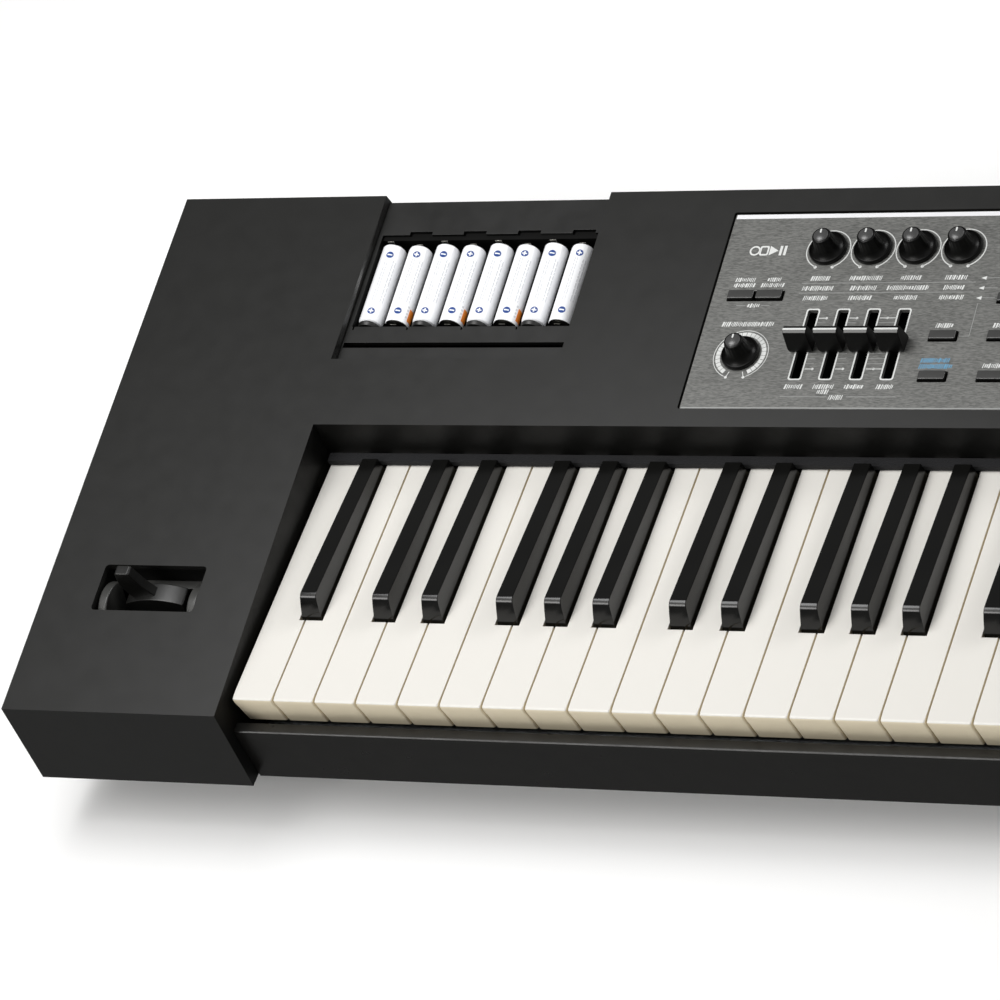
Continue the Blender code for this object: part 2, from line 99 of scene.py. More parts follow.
def deck_middle(node):
    low, high = deck_box(node)
    return (low.x + high.x) / 2, (low.y + high.y) / 2


def deck_height(y):
    """Z of the deck plane over a world Y."""
    return DECK.translation.z + (y - DECK.translation.y) * UPHILL.z / UPHILL.y


NATURALS = 52
KEY_GAP = 0.0009
KEY_LOW, KEY_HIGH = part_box("key_A0")
PITCH = (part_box("naturals_A5_C8")[1].x - KEY_LOW.x + KEY_GAP) / NATURALS
KEYS_X = KEY_LOW.x - KEY_GAP / 2
KEYS_Y = KEY_LOW.y
KEY_TOP = KEY_HIGH.z
FELT_LOW, FELT_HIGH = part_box("key_felt")
LEFT_LOW, LEFT_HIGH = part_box("left_end_block")
RIGHT_LOW, RIGHT_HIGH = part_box("right_end_block")
WELL_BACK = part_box("rear_deck")[0].y

# ---------------------------------------------------------------- materials


def blank(name):
    """A new material, its node tree and its shader."""
    made = bpy.data.materials.new(name)
    made.use_nodes = True
    return made, made.node_tree, made.node_tree.nodes["Principled BSDF"]


def filled(item, **values):
    """Sets the item's inputs: a value's name is its socket's, with _ for a space."""
    for socket, value in values.items():
        item.inputs[socket.replace("_", " ")].default_value = value
    return item


def node(tree, kind, **values):
    return filled(tree.nodes.new(f"ShaderNode{kind}"), **values)


def noise(tree, size, detail=3.0, stretch=(1.0, 1.0, 1.0)):
    """Noise whose features are about this many metres across, longer where stretch is over 1."""
    place = node(tree, "TexCoord")
    mapping = node(tree, "Mapping", Scale=[1.0 / (size * share) for share in stretch])
    made = node(tree, "TexNoise", Scale=1.0, Detail=detail)
    tree.links.new(place.outputs["Object"], mapping.inputs["Vector"])
    tree.links.new(mapping.outputs["Vector"], made.inputs["Vector"])
    return made.outputs["Fac"]


def ranged(tree, value, low, high):
    """The middle of a noise's range, spread from low to high."""
    made = node(tree, "MapRange", From_Min=0.3, From_Max=0.7, To_Min=low, To_Max=high)
    tree.links.new(value, made.inputs["Value"])
    return made.outputs["Result"]


def mixed(tree, share, first, second):
    made = node(tree, "Mix")
    made.data_type = "RGBA"
    tree.links.new(share, made.inputs["Factor"])
    for socket, colour in (("A_Color", first), ("B_Color", second)):
        target = next(item for item in made.inputs if item.identifier == socket)
        if isinstance(colour, tuple):
            target.default_value = (*colour, 1.0)
        else:
            tree.links.new(colour, target)
    return next(item for item in made.outputs if item.identifier == "Result_Color")


def relief(tree, shader, height, depth):
    """Surface relief of this depth in metres."""
    made = node(tree, "Bump", Strength=1.0, Distance=depth)
    tree.links.new(height, made.inputs["Height"])
    tree.links.new(made.outputs["Normal"], shader.inputs["Normal"])


def shaded(colour, share):
    return tuple(min(1.0, part * share) for part in colour)


def plastic(name, colour, roughness, grain=0.0006, depth=0.000012, mottle=0.10, gloss=0.05,
            specular=0.5, coat=0.0):
    """Moulded plastic: a fine grain, faint flow marks in the colour, and uneven gloss."""
    made, tree, shader = blank(name)
    flow = ranged(tree, noise(tree, 0.045, 4.0), 0.0, 1.0)
    tree.links.new(mixed(tree, flow, shaded(colour, 1.0 - mottle), shaded(colour, 1.0 + mottle)),
                   shader.inputs["Base Color"])
    tree.links.new(ranged(tree, noise(tree, 0.012, 5.0), roughness - gloss, roughness + gloss),
                   shader.inputs["Roughness"])
    relief(tree, shader, noise(tree, grain, 2.0), depth)
    filled(shader, Specular_IOR_Level=specular, Coat_Weight=coat, Coat_Roughness=0.12)
    return made


def metal(name, colour, roughness, stretch=(1.0, 1.0, 1.0), size=0.0005, depth=0.000006,
          metallic=1.0, streak=0.12):
    """Metal with a brushed or cast grain, longer along the axis that stretch names."""
    made, tree, shader = blank(name)
    lines = noise(tree, size, 3.0, stretch)
    streaks = ranged(tree, lines, 0.0, 1.0)
    tree.links.new(mixed(tree, streaks, shaded(colour, 1.0 - streak), shaded(colour, 1.0 + streak)),
                   shader.inputs["Base Color"])
    tree.links.new(ranged(tree, noise(tree, 0.02, 4.0), roughness - 0.05, roughness + 0.05),
                   shader.inputs["Roughness"])
    relief(tree, shader, lines, depth)
    filled(shader, Metallic=metallic)
    return made


def felt_cloth(name, colour):
    made, tree, shader = blank(name)
    fibres = noise(tree, 0.0004, 6.0, (3.0, 1.0, 1.0))
    tree.links.new(mixed(tree, ranged(tree, fibres, 0.0, 1.0), shaded(colour, 0.55),
                         shaded(colour, 1.6)), shader.inputs["Base Color"])
    relief(tree, shader, fibres, 0.0004)
    filled(shader, Roughness=0.95, Sheen_Weight=0.06, Sheen_Roughness=0.5)
    return made


def circuit(name, colour):
    """A nearly black board, its tracks a little paler under the lacquer."""
    made, tree, shader = blank(name)
    place = node(tree, "TexCoord")
    bricks = node(tree, "TexBrick", Scale=90.0, Mortar_Size=0.06, Color1=(*colour, 1.0),
                  Color2=(*shaded(colour, 1.5), 1.0), Mortar=(*shaded(colour, 3.0), 1.0))
    tree.links.new(place.outputs["Object"], bricks.inputs["Vector"])
    tree.links.new(bricks.outputs["Color"], shader.inputs["Base Color"])
    relief(tree, shader, bricks.outputs["Fac"], 0.00004)
    filled(shader, Roughness=0.35)
    return made


FINISH = {
    "case": plastic("case_satin", (0.0066, 0.0066, 0.0059), 0.40, grain=0.0005, depth=0.000008,
                    mottle=0.05, gloss=0.02),
    # A darker, duller copy of the case plastic: painted shade on the key well's walls and the
    # bender lever's right side.
    "shade": plastic("case_painted_shade", (0.0035, 0.0034, 0.003), 0.50, grain=0.0005, mottle=0.1,
                     specular=0.22),
    "slip": plastic("slip_satin", (0.006, 0.0057, 0.005), 0.32, mottle=0.06, specular=0.35),
    "under": plastic("underside_matt", (0.020, 0.020, 0.020), 0.62, grain=0.0011, depth=0.00005),
    "bay": plastic("bay_matt", (0.0060, 0.0060, 0.0055), 0.44, grain=0.0007, depth=0.00002),
    # Darker than the case and bay plastic: painted shade in the bender's well and in the bay's sunk
    # faces.
    "well": plastic("well_painted_shade", (0.002, 0.002, 0.0018), 0.6, specular=0.12),
    "ivory": plastic("key_ivory", (0.665, 0.648, 0.610), 0.34, grain=0.0004, depth=0.000003,
                     mottle=0.010, gloss=0.04),
    # The keys' sides, lighter and warmer than the tops: painted light in the gaps between keys.
    "side_painted_light": plastic("key_side_painted_light", (0.74, 0.66, 0.50), 0.42, grain=0.0005, depth=0.000004,
                          mottle=0.02),
    # The keys' fronts, a warmer beige copy of the ivory: painted shade on the fronts.
    "front_painted_shade": plastic("key_front_painted_shade", (0.70, 0.62, 0.46), 0.42, grain=0.0005, depth=0.000004,
                     mottle=0.03),
    "ebony": plastic("key_ebony", (0.0025, 0.0025, 0.0022), 0.17, grain=0.0005, depth=0.000003,
                     mottle=0.15, gloss=0.03, specular=0.38),
    "control": plastic("control_satin", (0.0020, 0.0020, 0.0018), 0.34, grain=0.0005,
                       depth=0.000004, mottle=0.12, specular=0.16),
    "cap": plastic("knob_cap_grey", (0.050, 0.050, 0.050), 0.28, grain=0.0005, depth=0.000003),
    # A pale grey for the slider caps' front chamfer: a painted highlight.
    "ridge": plastic("slider_chamfer_painted_highlight", (0.085, 0.085, 0.082), 0.35, grain=0.0005,
                     depth=0.000003),
    "rubber": plastic("button_satin", (0.036, 0.036, 0.035), 0.32, grain=0.0004, depth=0.000004),
    "pad": plastic("pad_rubber", (0.040, 0.041, 0.044), 0.6, grain=0.0005, depth=0.00002),
    "foot": plastic("foot_rubber", (0.014, 0.014, 0.014), 0.8, grain=0.0008, depth=0.00005),
    "grey": plastic("bender_satin", (0.034, 0.034, 0.032), 0.36, mottle=0.08),
    "black": plastic("bender_dark", (0.0045, 0.0045, 0.004), 0.36, mottle=0.12),
    "ink": plastic("print_white", (0.60, 0.61, 0.60), 0.5, grain=0.0002, mottle=0.06),
    "trim": plastic("trim_white", (0.72, 0.72, 0.74), 0.3, grain=0.0004, depth=0.000003,
                    mottle=0.02),
    "dim_ink": plastic("print_grey", (0.27, 0.275, 0.27), 0.5, grain=0.0002, mottle=0.06),
    "blue_ink": plastic("print_blue", (0.10, 0.30, 0.48), 0.5, grain=0.0002, mottle=0.08),
    "panel": metal("panel_brushed", (0.124, 0.125, 0.119), 0.42, (6.0, 1.0, 1.0), 0.00042,
                   0.000012, metallic=0.10, streak=0.46),
    "chrome": metal("bright_metal", (0.50, 0.50, 0.48), 0.25, depth=0.000002, streak=0.05),
    "end": metal("cell_end_metal", (0.10, 0.10, 0.09), 0.35, depth=0.000003, streak=0.15),
    "nickel": metal("nickel_plate", (0.36, 0.35, 0.32), 0.30, depth=0.000003),
    "brass": metal("gold_contact", (0.60, 0.43, 0.16), 0.30, depth=0.000003),
    "chassis": metal("zinc_plate", (0.40, 0.41, 0.42), 0.38, (1.0, 1.0, 1.0), 0.008, 0.00003),
    "jack_metal": plastic("jack_panel_paint", (0.014, 0.014, 0.015), 0.5, grain=0.0009,
                          depth=0.00004),
    "felt": felt_cloth("key_felt_cloth", (0.0016, 0.0016, 0.0026)),
    "board": circuit("circuit_black", (0.0025, 0.0035, 0.003)),
    "sleeve": plastic("cell_sleeve_white", (0.84, 0.85, 0.87), 0.34, grain=0.0008,
                      depth=0.000004, mottle=0.02, coat=0.2),
    "cell_blue": plastic("cell_print_blue", (0.010, 0.050, 0.23), 0.4, grain=0.0002),
    "cell_grey": plastic("cell_print_grey", (0.56, 0.57, 0.60), 0.4, grain=0.0002),
    "cell_orange": plastic("cell_print_orange", (0.75, 0.22, 0.02), 0.4, grain=0.0002),
    "screen": plastic("screen_lit", (0.25, 0.35, 0.42), 0.25, grain=0.0003, mottle=0.05),
    "screen_mark": plastic("screen_mark", (0.03, 0.05, 0.09), 0.3, grain=0.0003),
    "bezel": plastic("bezel_gloss", (0.005, 0.005, 0.006), 0.12, grain=0.002, depth=0.000002,
                     mottle=0.1, gloss=0.03),
}

# ---------------------------------------------------------------- shapes


def box(x0, x1, y0, y1, z0, z1):
    made = bmesh.new()
    middle = Vector(((x0 + x1) / 2, (y0 + y1) / 2, (z0 + z1) / 2))
    size = Matrix.Diagonal((x1 - x0, y1 - y0, z1 - z0, 1.0))
    bmesh.ops.create_cube(made, size=1.0, matrix=Matrix.Translation(middle) @ size)
    return made


def prism(outline, low, high, axis="Z"):
    """The outline, drawn in the two other axes in their order, pushed along one axis."""
    made = bmesh.new()

    def point(a, b, along):
        return {"X": (along, a, b), "Y": (a, along, b), "Z": (a, b, along)}[axis]

    base = made.faces.new([made.verts.new(point(a, b, low)) for a, b in outline])
    pushed = bmesh.ops.extrude_face_region(made, geom=[base])
    ends = [item for item in pushed["geom"] if isinstance(item, bmesh.types.BMVert)]
    shift = Vector(point(0.0, 0.0, high)) - Vector(point(0.0, 0.0, low))
    bmesh.ops.translate(made, vec=shift, verts=ends)
    bmesh.ops.recalc_face_normals(made, faces=made.faces)
    return made


def arc(x, y, radius, start, end, steps):
    """Points round a centre, from one angle to another in degrees."""
    turns = [math.radians(start + (end - start) * step / steps) for step in range(steps + 1)]
    return [(x + radius * math.cos(turn), y + radius * math.sin(turn)) for turn in turns]


def rounded(x0, x1, y0, y1, radius, steps=5):
    """A rectangle's outline with round corners."""
    return (arc(x1 - radius, y1 - radius, radius, 0, 90, steps)
            + arc(x0 + radius, y1 - radius, radius, 90, 180, steps)
            + arc(x0 + radius, y0 + radius, radius, 180, 270, steps)
            + arc(x1 - radius, y0 + radius, radius, 270, 360, steps))


def lathe(profile, steps=48, flutes=0, flute_depth=0.0, fluted=()):
    """Turns (radius, height) points about Z. Rings named in fluted get shallow grooves."""
    made = bmesh.new()
    rings = []
    for place, (radius, height) in enumerate(profile):
        if radius < 1e-6:
            rings.append([made.verts.new((0.0, 0.0, height))])
            continue
        ring = []
        for step in range(steps):
            turn = 2 * math.pi * step / steps
            reach = radius
            if place in fluted:
                reach -= flute_depth * (0.5 + 0.5 * math.cos(flutes * turn)) ** 2
            ring.append(made.verts.new((reach * math.cos(turn), reach * math.sin(turn), height)))
        rings.append(ring)
    for low, high in zip(rings, rings[1:]):
        for step in range(steps):
            after = (step + 1) % steps
            if len(low) == 1 and len(high) > 1:
                made.faces.new((low[0], high[after], high[step]))
            elif len(high) == 1 and len(low) > 1:
                made.faces.new((low[step], low[after], high[0]))
            elif len(low) > 1:
                made.faces.new((low[step], low[after], high[after], high[step]))
    for ring in (rings[0], rings[-1]):
        if len(ring) > 1:
            made.faces.new(ring)
    bmesh.ops.recalc_face_normals(made, faces=made.faces)
    return made


def disc(radius, low, high, steps=24):
    return lathe([(0.0, low), (radius, low), (radius, high), (0.0, high)], steps)


def moved(shape, matrix):
    bmesh.ops.transform(shape, matrix=matrix, verts=shape.verts)
    return shape


def at(shape, x=0.0, y=0.0, z=0.0):
    return moved(shape, Matrix.Translation((x, y, z)))


def turned(shape, degrees, axis):
    return moved(shape, Matrix.Rotation(math.radians(degrees), 4, axis))


def tinted(shape, index):
    """Gives every face of the shape one material index."""
    for face in shape.faces:
        face.material_index = index
    return shape


def mesh_of(shape, name="shape"):
    """The shape as a mesh. The shape itself is used up."""
    made = bpy.data.meshes.new(name)
    shape.to_mesh(made)
    shape.free()
    return made


def linked(name, data):
    """A new object in the scene."""
    made = bpy.data.objects.new(name, data)
    scene.collection.objects.link(made)
    return made


def merged(*shapes):
    """One bmesh that holds several shapes, each with its own material indices."""
    made = bmesh.new()
    for shape in shapes:
        mesh = mesh_of(shape)
        made.from_mesh(mesh)
        bpy.data.meshes.remove(mesh)
    return made


def combined(base, tools, operation):
    """The base shape after one Boolean with each tool."""
    made = [linked("shape", mesh_of(shape)) for shape in (base, *tools)]
    for tool in made[1:]:
        boolean = made[0].modifiers.new("combine", "BOOLEAN")
        boolean.operation = operation
        boolean.object = tool
    bpy.context.view_layer.update()
    evaluated = made[0].evaluated_get(bpy.context.evaluated_depsgraph_get())
    result = bmesh.new()
    result.from_mesh(evaluated.to_mesh())
    evaluated.to_mesh_clear()
    for item in made:
        mesh = item.data
        bpy.data.objects.remove(item)
        bpy.data.meshes.remove(mesh)
    bmesh.ops.remove_doubles(result, verts=result.verts, dist=0.000002)
    return result


def carved(base, *tools):
    return combined(base, tools, "DIFFERENCE")


def joined(base, *tools):
    return combined(base, tools, "UNION")


def eased(shape, width, segments=3, chosen=None, least=28.0):
    """Rounds the edges that turn by more than least degrees and whose middle is chosen."""
    edges = []
    for edge in shape.edges:
        if len(edge.link_faces) != 2 or edge.calc_face_angle() < math.radians(least):
            continue
        if chosen is None or chosen((edge.verts[0].co + edge.verts[1].co) / 2, edge):
            edges.append(edge)
    bmesh.ops.bevel(shape, geom=edges, offset=width, offset_type="OFFSET", segments=segments,
                    profile=0.5, affect="EDGES", clamp_overlap=True)
    return shape


def finished(name, shape, finishes, sharp=35.0):
    """A smooth mesh with its materials, its edges sharp where they turn by more than sharp."""
    mesh = mesh_of(shape, name)
    for finish in finishes:
        mesh.materials.append(FINISH[finish])
    mesh.shade_smooth()
    mesh.set_sharp_from_angle(angle=math.radians(sharp))
    return mesh


def above(height):
    """Chooses the edges over a height, for eased()."""
    return lambda middle, edge: middle.z > height


def piece(name, shape, finishes, body="case", stands_for=(), where=None, sharp=35.0):
    """A finished piece of the object that rides on a body."""
    placed(name, finished(name, shape, finishes, sharp), body, stands_for, where)


def placed(name, mesh, body, stands_for=(), where=None):
    made = linked(name, mesh)
    made.matrix_world = where or Matrix()
    even = made.modifiers.new("even normals", "WEIGHTED_NORMAL")
    even.keep_sharp = True
    even.weight = 100
    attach(made, body)
    if stands_for:
        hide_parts(*stands_for)


def coat_node(name, finish):
    """Gives a node that stays in view its material."""
    materials = frame["nodes"][name].data.materials
    materials.clear()
    materials.append(FINISH[finish])


# ---------------------------------------------------------------- case

OUTER_EDGE = 0.0011
INNER_EDGE = 0.0007
BENDER_PIVOT = TO_DECK @ Vector(JOINTS["bender_tilt"]["pos_m"])
BENDER_U, BENDER_V = deck_middle("bender_cradle")[0], BENDER_PIVOT.y
BENDER_HALF = (0.0302, 0.01395)
TRAY_LOW, TRAY_HIGH = deck_box("battery_tray")
BAY_DEPTH = -TRAY_HIGH.z
PANEL_LOW, PANEL_HIGH = deck_box("control_panel")
PANEL_HIGH.y += 0.0008  # the plate's back edge, over the opening's rim
JACK_LOW, JACK_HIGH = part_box("rear_jack_panel")
BOTTOM_SCREWS = [(x, y) for x in (-0.56, -0.28, 0.0, 0.28, 0.56) for y in (-0.10, 0.02, 0.13)]
DECK_END = LEFT_HIGH.y - 0.0192
BACK_FOLD = 0.0500


def case_outline(inset=0.0, floor=None, drop=0.0):
    """The case from its end as Y and Z, pulled in by inset, its top dropped by drop more."""
    low, high = LEFT_LOW, LEFT_HIGH
    floor = low.z if floor is None else floor
    front_edge = DECK.translation.y
    edge_height = deck_height(DECK_END) - drop
    return [
        (low.y + inset, floor),
        (front_edge + inset, DECK.translation.z - inset - drop),
        (DECK_END - inset * 0.8 - drop, edge_height - inset),
        (DECK_END + 0.0018 - inset - drop * 0.3, edge_height - 0.0075 - inset * 0.4),
        (high.y - 0.0020 - inset * 0.8, high.z - 0.0291 - inset * 0.6 - drop),
        (high.y - inset, high.z - 0.0321 - inset * 0.3 - drop),
        (high.y - inset, BACK_FOLD),
        (high.y - 0.0065 - inset, floor),
    ]


def top_case():
    """One moulding: both end blocks and the deck between them, hollow underneath."""
    left_end, right_start = LEFT_HIGH.x, RIGHT_LOW.x
    ceiling = LEFT_HIGH.z + 0.05
    solid = prism(case_outline(), LEFT_LOW.x, RIGHT_HIGH.x, "X")
    under_wall = FELT_LOW.z
    well = box(left_end, right_start, LEFT_LOW.y - 0.05, WELL_BACK, LEFT_LOW.z - 0.01, ceiling)
    u0, u1 = TRAY_LOW.x - GAP, TRAY_HIGH.x + GAP
    v0, v1 = TRAY_LOW.y - GAP, TRAY_HIGH.y + GAP
    bay = moved(prism(rounded(u0, u1, v0, v1 + 0.0003, 0.0004, 1), -0.030, 0.020), DECK)
    mouth = moved(box(u0, u1, v0, 0.400, -BAY_DEPTH, 0.020), DECK)
    half_u, half_v = BENDER_HALF
    bender = moved(prism(rounded(-half_u, half_u, -half_v, half_v, 0.0022), -0.012, 0.012),
                   deck(BENDER_U, BENDER_V))
    panel = moved(prism(rounded(PANEL_LOW.x - 3 * GAP, PANEL_HIGH.x + GAP, PANEL_LOW.y - GAP,
                                PANEL_HIGH.y + 3 * GAP, 0.0012), -0.012, 0.012), DECK)
    jacks = box(JACK_LOW.x - GAP, JACK_HIGH.x + GAP, 0.150, 0.190, JACK_LOW.z - GAP,
                JACK_HIGH.z + GAP)
    rear = case_outline()[2:5]
    sunk = [Vector((0.0, y, z)) - NORMAL * BAY_DEPTH for y, z in rear]
    step = prism([(rear[0][0], sunk[0].z), (sunk[1].y - 0.0004, sunk[1].z), (sunk[2].y, sunk[2].z),
                  (sunk[2].y + 0.010, sunk[2].z), (sunk[2].y + 0.010, ceiling),
                  (rear[0][0], ceiling)], u0, u1, "X")
    body = carved(solid, well, bay, mouth, step, bender, panel, jacks)

    def outside(middle, edge):
        return (abs(middle.x) > RIGHT_HIGH.x - 0.0002 or middle.y > 0.1500
                or middle.y < KEYS_Y) and middle.z > LEFT_LOW.z + 0.001

    eased(body, OUTER_EDGE, 3, outside)
    eased(body, INNER_EDGE, 2, lambda middle, edge: middle.z > 0.06 and middle.y < 0.1490,
          least=50.0)

    def foot_corner(middle, edge):
        beside = min(abs(middle.x - left_end), abs(middle.x - right_start)) < 0.0001
        along = abs(edge.verts[0].co.y - edge.verts[1].co.y) > 0.05
        return beside and along and middle.z < LEFT_LOW.z + 0.0005

    eased(body, 0.0020, 4, foot_corner, least=50.0)
    inner = case_outline(WALL, LEFT_LOW.z - 0.01)
    cheek = prism(inner, LEFT_LOW.x + WALL, left_end - 2 * WALL, "X")
    other_cheek = prism(inner, right_start + 2 * WALL, RIGHT_HIGH.x - WALL, "X")

    def deck_hollow(x0, x1, drop):
        top = case_outline(WALL, LEFT_LOW.z - 0.01, drop)[2:]
        wall_y = WELL_BACK + WALL
        outline = [(WELL_BACK - 0.02, LEFT_LOW.z - 0.01), (WELL_BACK - 0.02, under_wall),
                   (wall_y, under_wall), (wall_y, deck_height(wall_y) - WALL - drop), *top]
        return prism(outline, x0, x1, "X")

    body = carved(body, cheek, other_cheek, deck_hollow(left_end, u1 + WALL, BAY_DEPTH),
                  deck_hollow(u1 + WALL - 0.0001, right_start, 0.0))
    # Upright and downward faces inside the key well take the darker inner plastic: painted shade on
    # the well's back wall and the cheeks' inner sides.
    for face in body.faces:
        middle = face.calc_center_median()
        in_well = left_end - 0.0001 < middle.x < right_start + 0.0001 and middle.y < WELL_BACK
        if in_well and middle.y > KEYS_Y and face.normal.z < 0.3:
            face.material_index = 1
    return body


def slip():
    """The rail under the keys' fronts, with a soft top edge."""
    low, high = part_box("key_slip")
    shape = prism([(low.y + 0.0006, low.z), (low.y, high.z - 0.0007), (low.y + 0.0007, high.z),
                   (high.y, high.z), (high.y, low.z)], low.x, high.x, "X")
    return eased(shape, 0.00015, 1, least=20.0)


def underside():
    """The bottom tray with vents, screw wells and a plain label recess."""
    low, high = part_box("bottom_case")
    side_slope, front_slope, back_slope = 0.016, 0.030, 0.014
    floor_x, floor_y0, floor_y1 = high.x - side_slope, low.y + front_slope, high.y - back_slope

    def basin(inset, bottom, top):
        made = box(-floor_x + inset, floor_x - inset, floor_y0 + inset, floor_y1 - inset,
                   bottom, top)
        for vertex in made.verts:
            if vertex.co.z > (bottom + top) / 2:
                vertex.co.x += math.copysign(side_slope, vertex.co.x)
                vertex.co.y += -front_slope if vertex.co.y < 0 else back_slope
        return eased(made, 0.0025, 3, lambda middle, edge: middle.z < top - 0.001)

    vents = []
    for side in (-1, 1):
        for step in range(9):
            x = side * 0.36 + (step - 4) * 0.011
            vents.append(prism(rounded(x - 0.0018, x + 0.0018, 0.060, 0.100, 0.0017, 3),
                               low.z - 0.01, low.z + 0.01))
    wells = [at(lathe([(0.0, -0.003), (0.0048, -0.003), (0.0042, 0.0016), (0.0, 0.0016)], 24),
                x, y, low.z) for x, y in BOTTOM_SCREWS]
    plate = prism(rounded(-0.06, 0.06, -0.045, -0.005, 0.003), low.z - 0.01, low.z + 0.0006)
    return carved(basin(0.0, low.z, high.z), basin(WALL * 0.9, low.z + 0.0025, high.z + 0.003),
                  merged(*vents), merged(*wells), plate)


def screw(radius, height):
    """A pan head with a cross recess, its underside at Z 0."""
    head = lathe([(0.0, 0.0), (radius, 0.0), (radius, height * 0.45),
                  (radius * 0.82, height * 0.85), (radius * 0.45, height), (0.0, height)], 24)
    bar = radius * 0.16
    arm = radius * 0.55
    cross = joined(box(-arm, arm, -bar, bar, height * 0.4, height * 2),
                   box(-bar, bar, -arm, arm, height * 0.4, height * 2))
    return carved(head, cross)


def case():
    piece("top_case", top_case(), ["case", "shade"],
          stands_for=["left_end_block", "right_end_block", "rear_deck"])
    piece("front_slip", slip(), ["slip"], stands_for=["key_slip"])
    piece("bottom_tray", underside(), ["under"],
          stands_for=["bottom_case"])
    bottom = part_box("bottom_case")[0].z
    heads = [at(turned(screw(0.0036, 0.0012), 180.0, "X"), x, y, bottom + 0.0014)
             for x, y in BOTTOM_SCREWS]
    piece("bottom_screws", merged(*heads), ["nickel"])
    for corner in ("front_left", "front_right", "back_left", "back_right"):
        low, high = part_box(f"foot_{corner}")
        height, wide, narrow = high.z - low.z, (high.x - low.x) / 2, 0.0140
        profile = [(0.0, 0.0022), (0.0040, 0.0022), (0.0042, 0.0004), (0.0060, 0.0),
                   (narrow - 0.0010, 0.0), (narrow, 0.0010), (narrow + 0.0008, height * 0.5),
                   (wide, height - 0.0012), (wide - 0.0006, height), (0.0, height)]
        piece(f"foot_{corner}_rubber", lathe(profile, 40), ["foot"],
              stands_for=[f"foot_{corner}"],
              where=Matrix.Translation(((low.x + high.x) / 2, (low.y + high.y) / 2, low.z)))


# ---------------------------------------------------------------- keyboard

NOTES = "ABCDEFG"
SLOT_WIDTH = 0.0134
SLOT_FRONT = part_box("key_As0")[0].y - 0.0010
KEY_SETS = {7: "A1_G3", 21: "A3_G5", 35: "A5_C8"}
FIRST_SET = 7


def sharp_offsets():
    """How far each sharp's middle is from the joint of its naturals, by the natural below it."""
    found = {}
    for letter, node, joint in (("A", "key_As0", 1), ("C", "key_Cs1", 3), ("D", "key_Ds1", 4),
                                ("F", "key_Fs1", 6), ("G", "key_Gs1", 7)):
        low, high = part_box(node)
        found[letter] = (low.x + high.x) / 2 - (KEYS_X + joint * PITCH)
    return found


SHARP_OFFSETS = sharp_offsets()


def has_sharp(index):
    return 0 <= index < NATURALS - 1 and NOTES[index % 7] in SHARP_OFFSETS


def natural_shape(left, right):
    """A natural from its left gap, with room for a sharp at a distance from each side or None."""
    width = PITCH - KEY_GAP
    length = KEY_HIGH.y - KEY_LOW.y
    nose = arc(0.0011, -0.0011, 0.0011, 180, 90, 4)
    side = [(0.0037, -0.0205), (0.0012, -0.0080), (0.0, -0.0030), *nose, (length, 0.0),
            (length, -0.0140), (0.0090, -0.0140), (0.0090, -0.0205)]
    body = prism(side, KEY_GAP / 2, KEY_GAP / 2 + width, "X")
    cuts = []
    for middle in (left, right):
        if middle is not None:
            cuts.append(box(middle - SLOT_WIDTH / 2, middle + SLOT_WIDTH / 2,
                            SLOT_FRONT - KEYS_Y, length + 0.01, -0.03, 0.01))
    if cuts:
        body = carved(body, *cuts)

    def front_corner(middle, edge):
        upright = abs(edge.verts[0].co.x - edge.verts[1].co.x) < 1e-5
        return upright and middle.y < 0.0038

    eased(body, 0.0012, 3, front_corner, least=40.0)
    eased(body, 0.00045, 2, lambda middle, edge: middle.z > -0.0005 and middle.y > 0.002,
          least=50.0)
    # Tops take the ivory; the sides a lighter tan, painted light in the gaps; the fronts a warmer
    # beige, painted shade.
    for face in body.faces:
        ahead = face.normal.y < -0.35 and face.calc_center_median().y < 0.02
        face.material_index = 0 if face.normal.z > 0.35 else 2 if ahead else 1
    return body


def sharp_cap():
    """A sharp about its own middle, with Y from the naturals' front edge."""
    low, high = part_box("key_As0")
    half, top = (high.x - low.x) / 2, 0.0045
    front, shoulder = low.y - KEYS_Y, -0.0008
    front_top = front + 0.0060
    cap_end, tall, back_tall = FELT_LOW.y - KEYS_Y - 0.0011, high.z - KEY_TOP, 0.0070
    made = bmesh.new()

    def ring(y, top_y, height):
        points = [(-half, y, -0.0120), (half, y, -0.0120), (half, y, shoulder),
                  (top, top_y, height), (-top, top_y, height), (-half, y, shoulder)]
        return [made.verts.new(point) for point in points]

    first = ring(front, front_top, tall)
    last = ring(cap_end, cap_end, back_tall)
    made.faces.new([first[corner] for corner in (5, 2, 1, 0)])
    made.faces.new([first[corner] for corner in (4, 3, 2, 5)])
    made.faces.new(last)
    for start in range(6):
        after = (start + 1) % 6
        made.faces.new((first[start], first[after], last[after], last[start]))
    bmesh.ops.recalc_face_normals(made, faces=made.faces)
    eased(made, 0.0024, 6, lambda middle, edge: abs(middle.y - front_top) < 0.0002
          and abs(middle.x) < 0.001, least=20.0)
    eased(made, 0.0004, 2, lambda middle, edge: middle.z > 0.0045 and abs(middle.x) > 0.001,
          least=25.0)
    tail = box(-half, half, cap_end - 0.001, high.y - KEYS_Y, -0.0120, shoulder)
    return merged(made, tail)


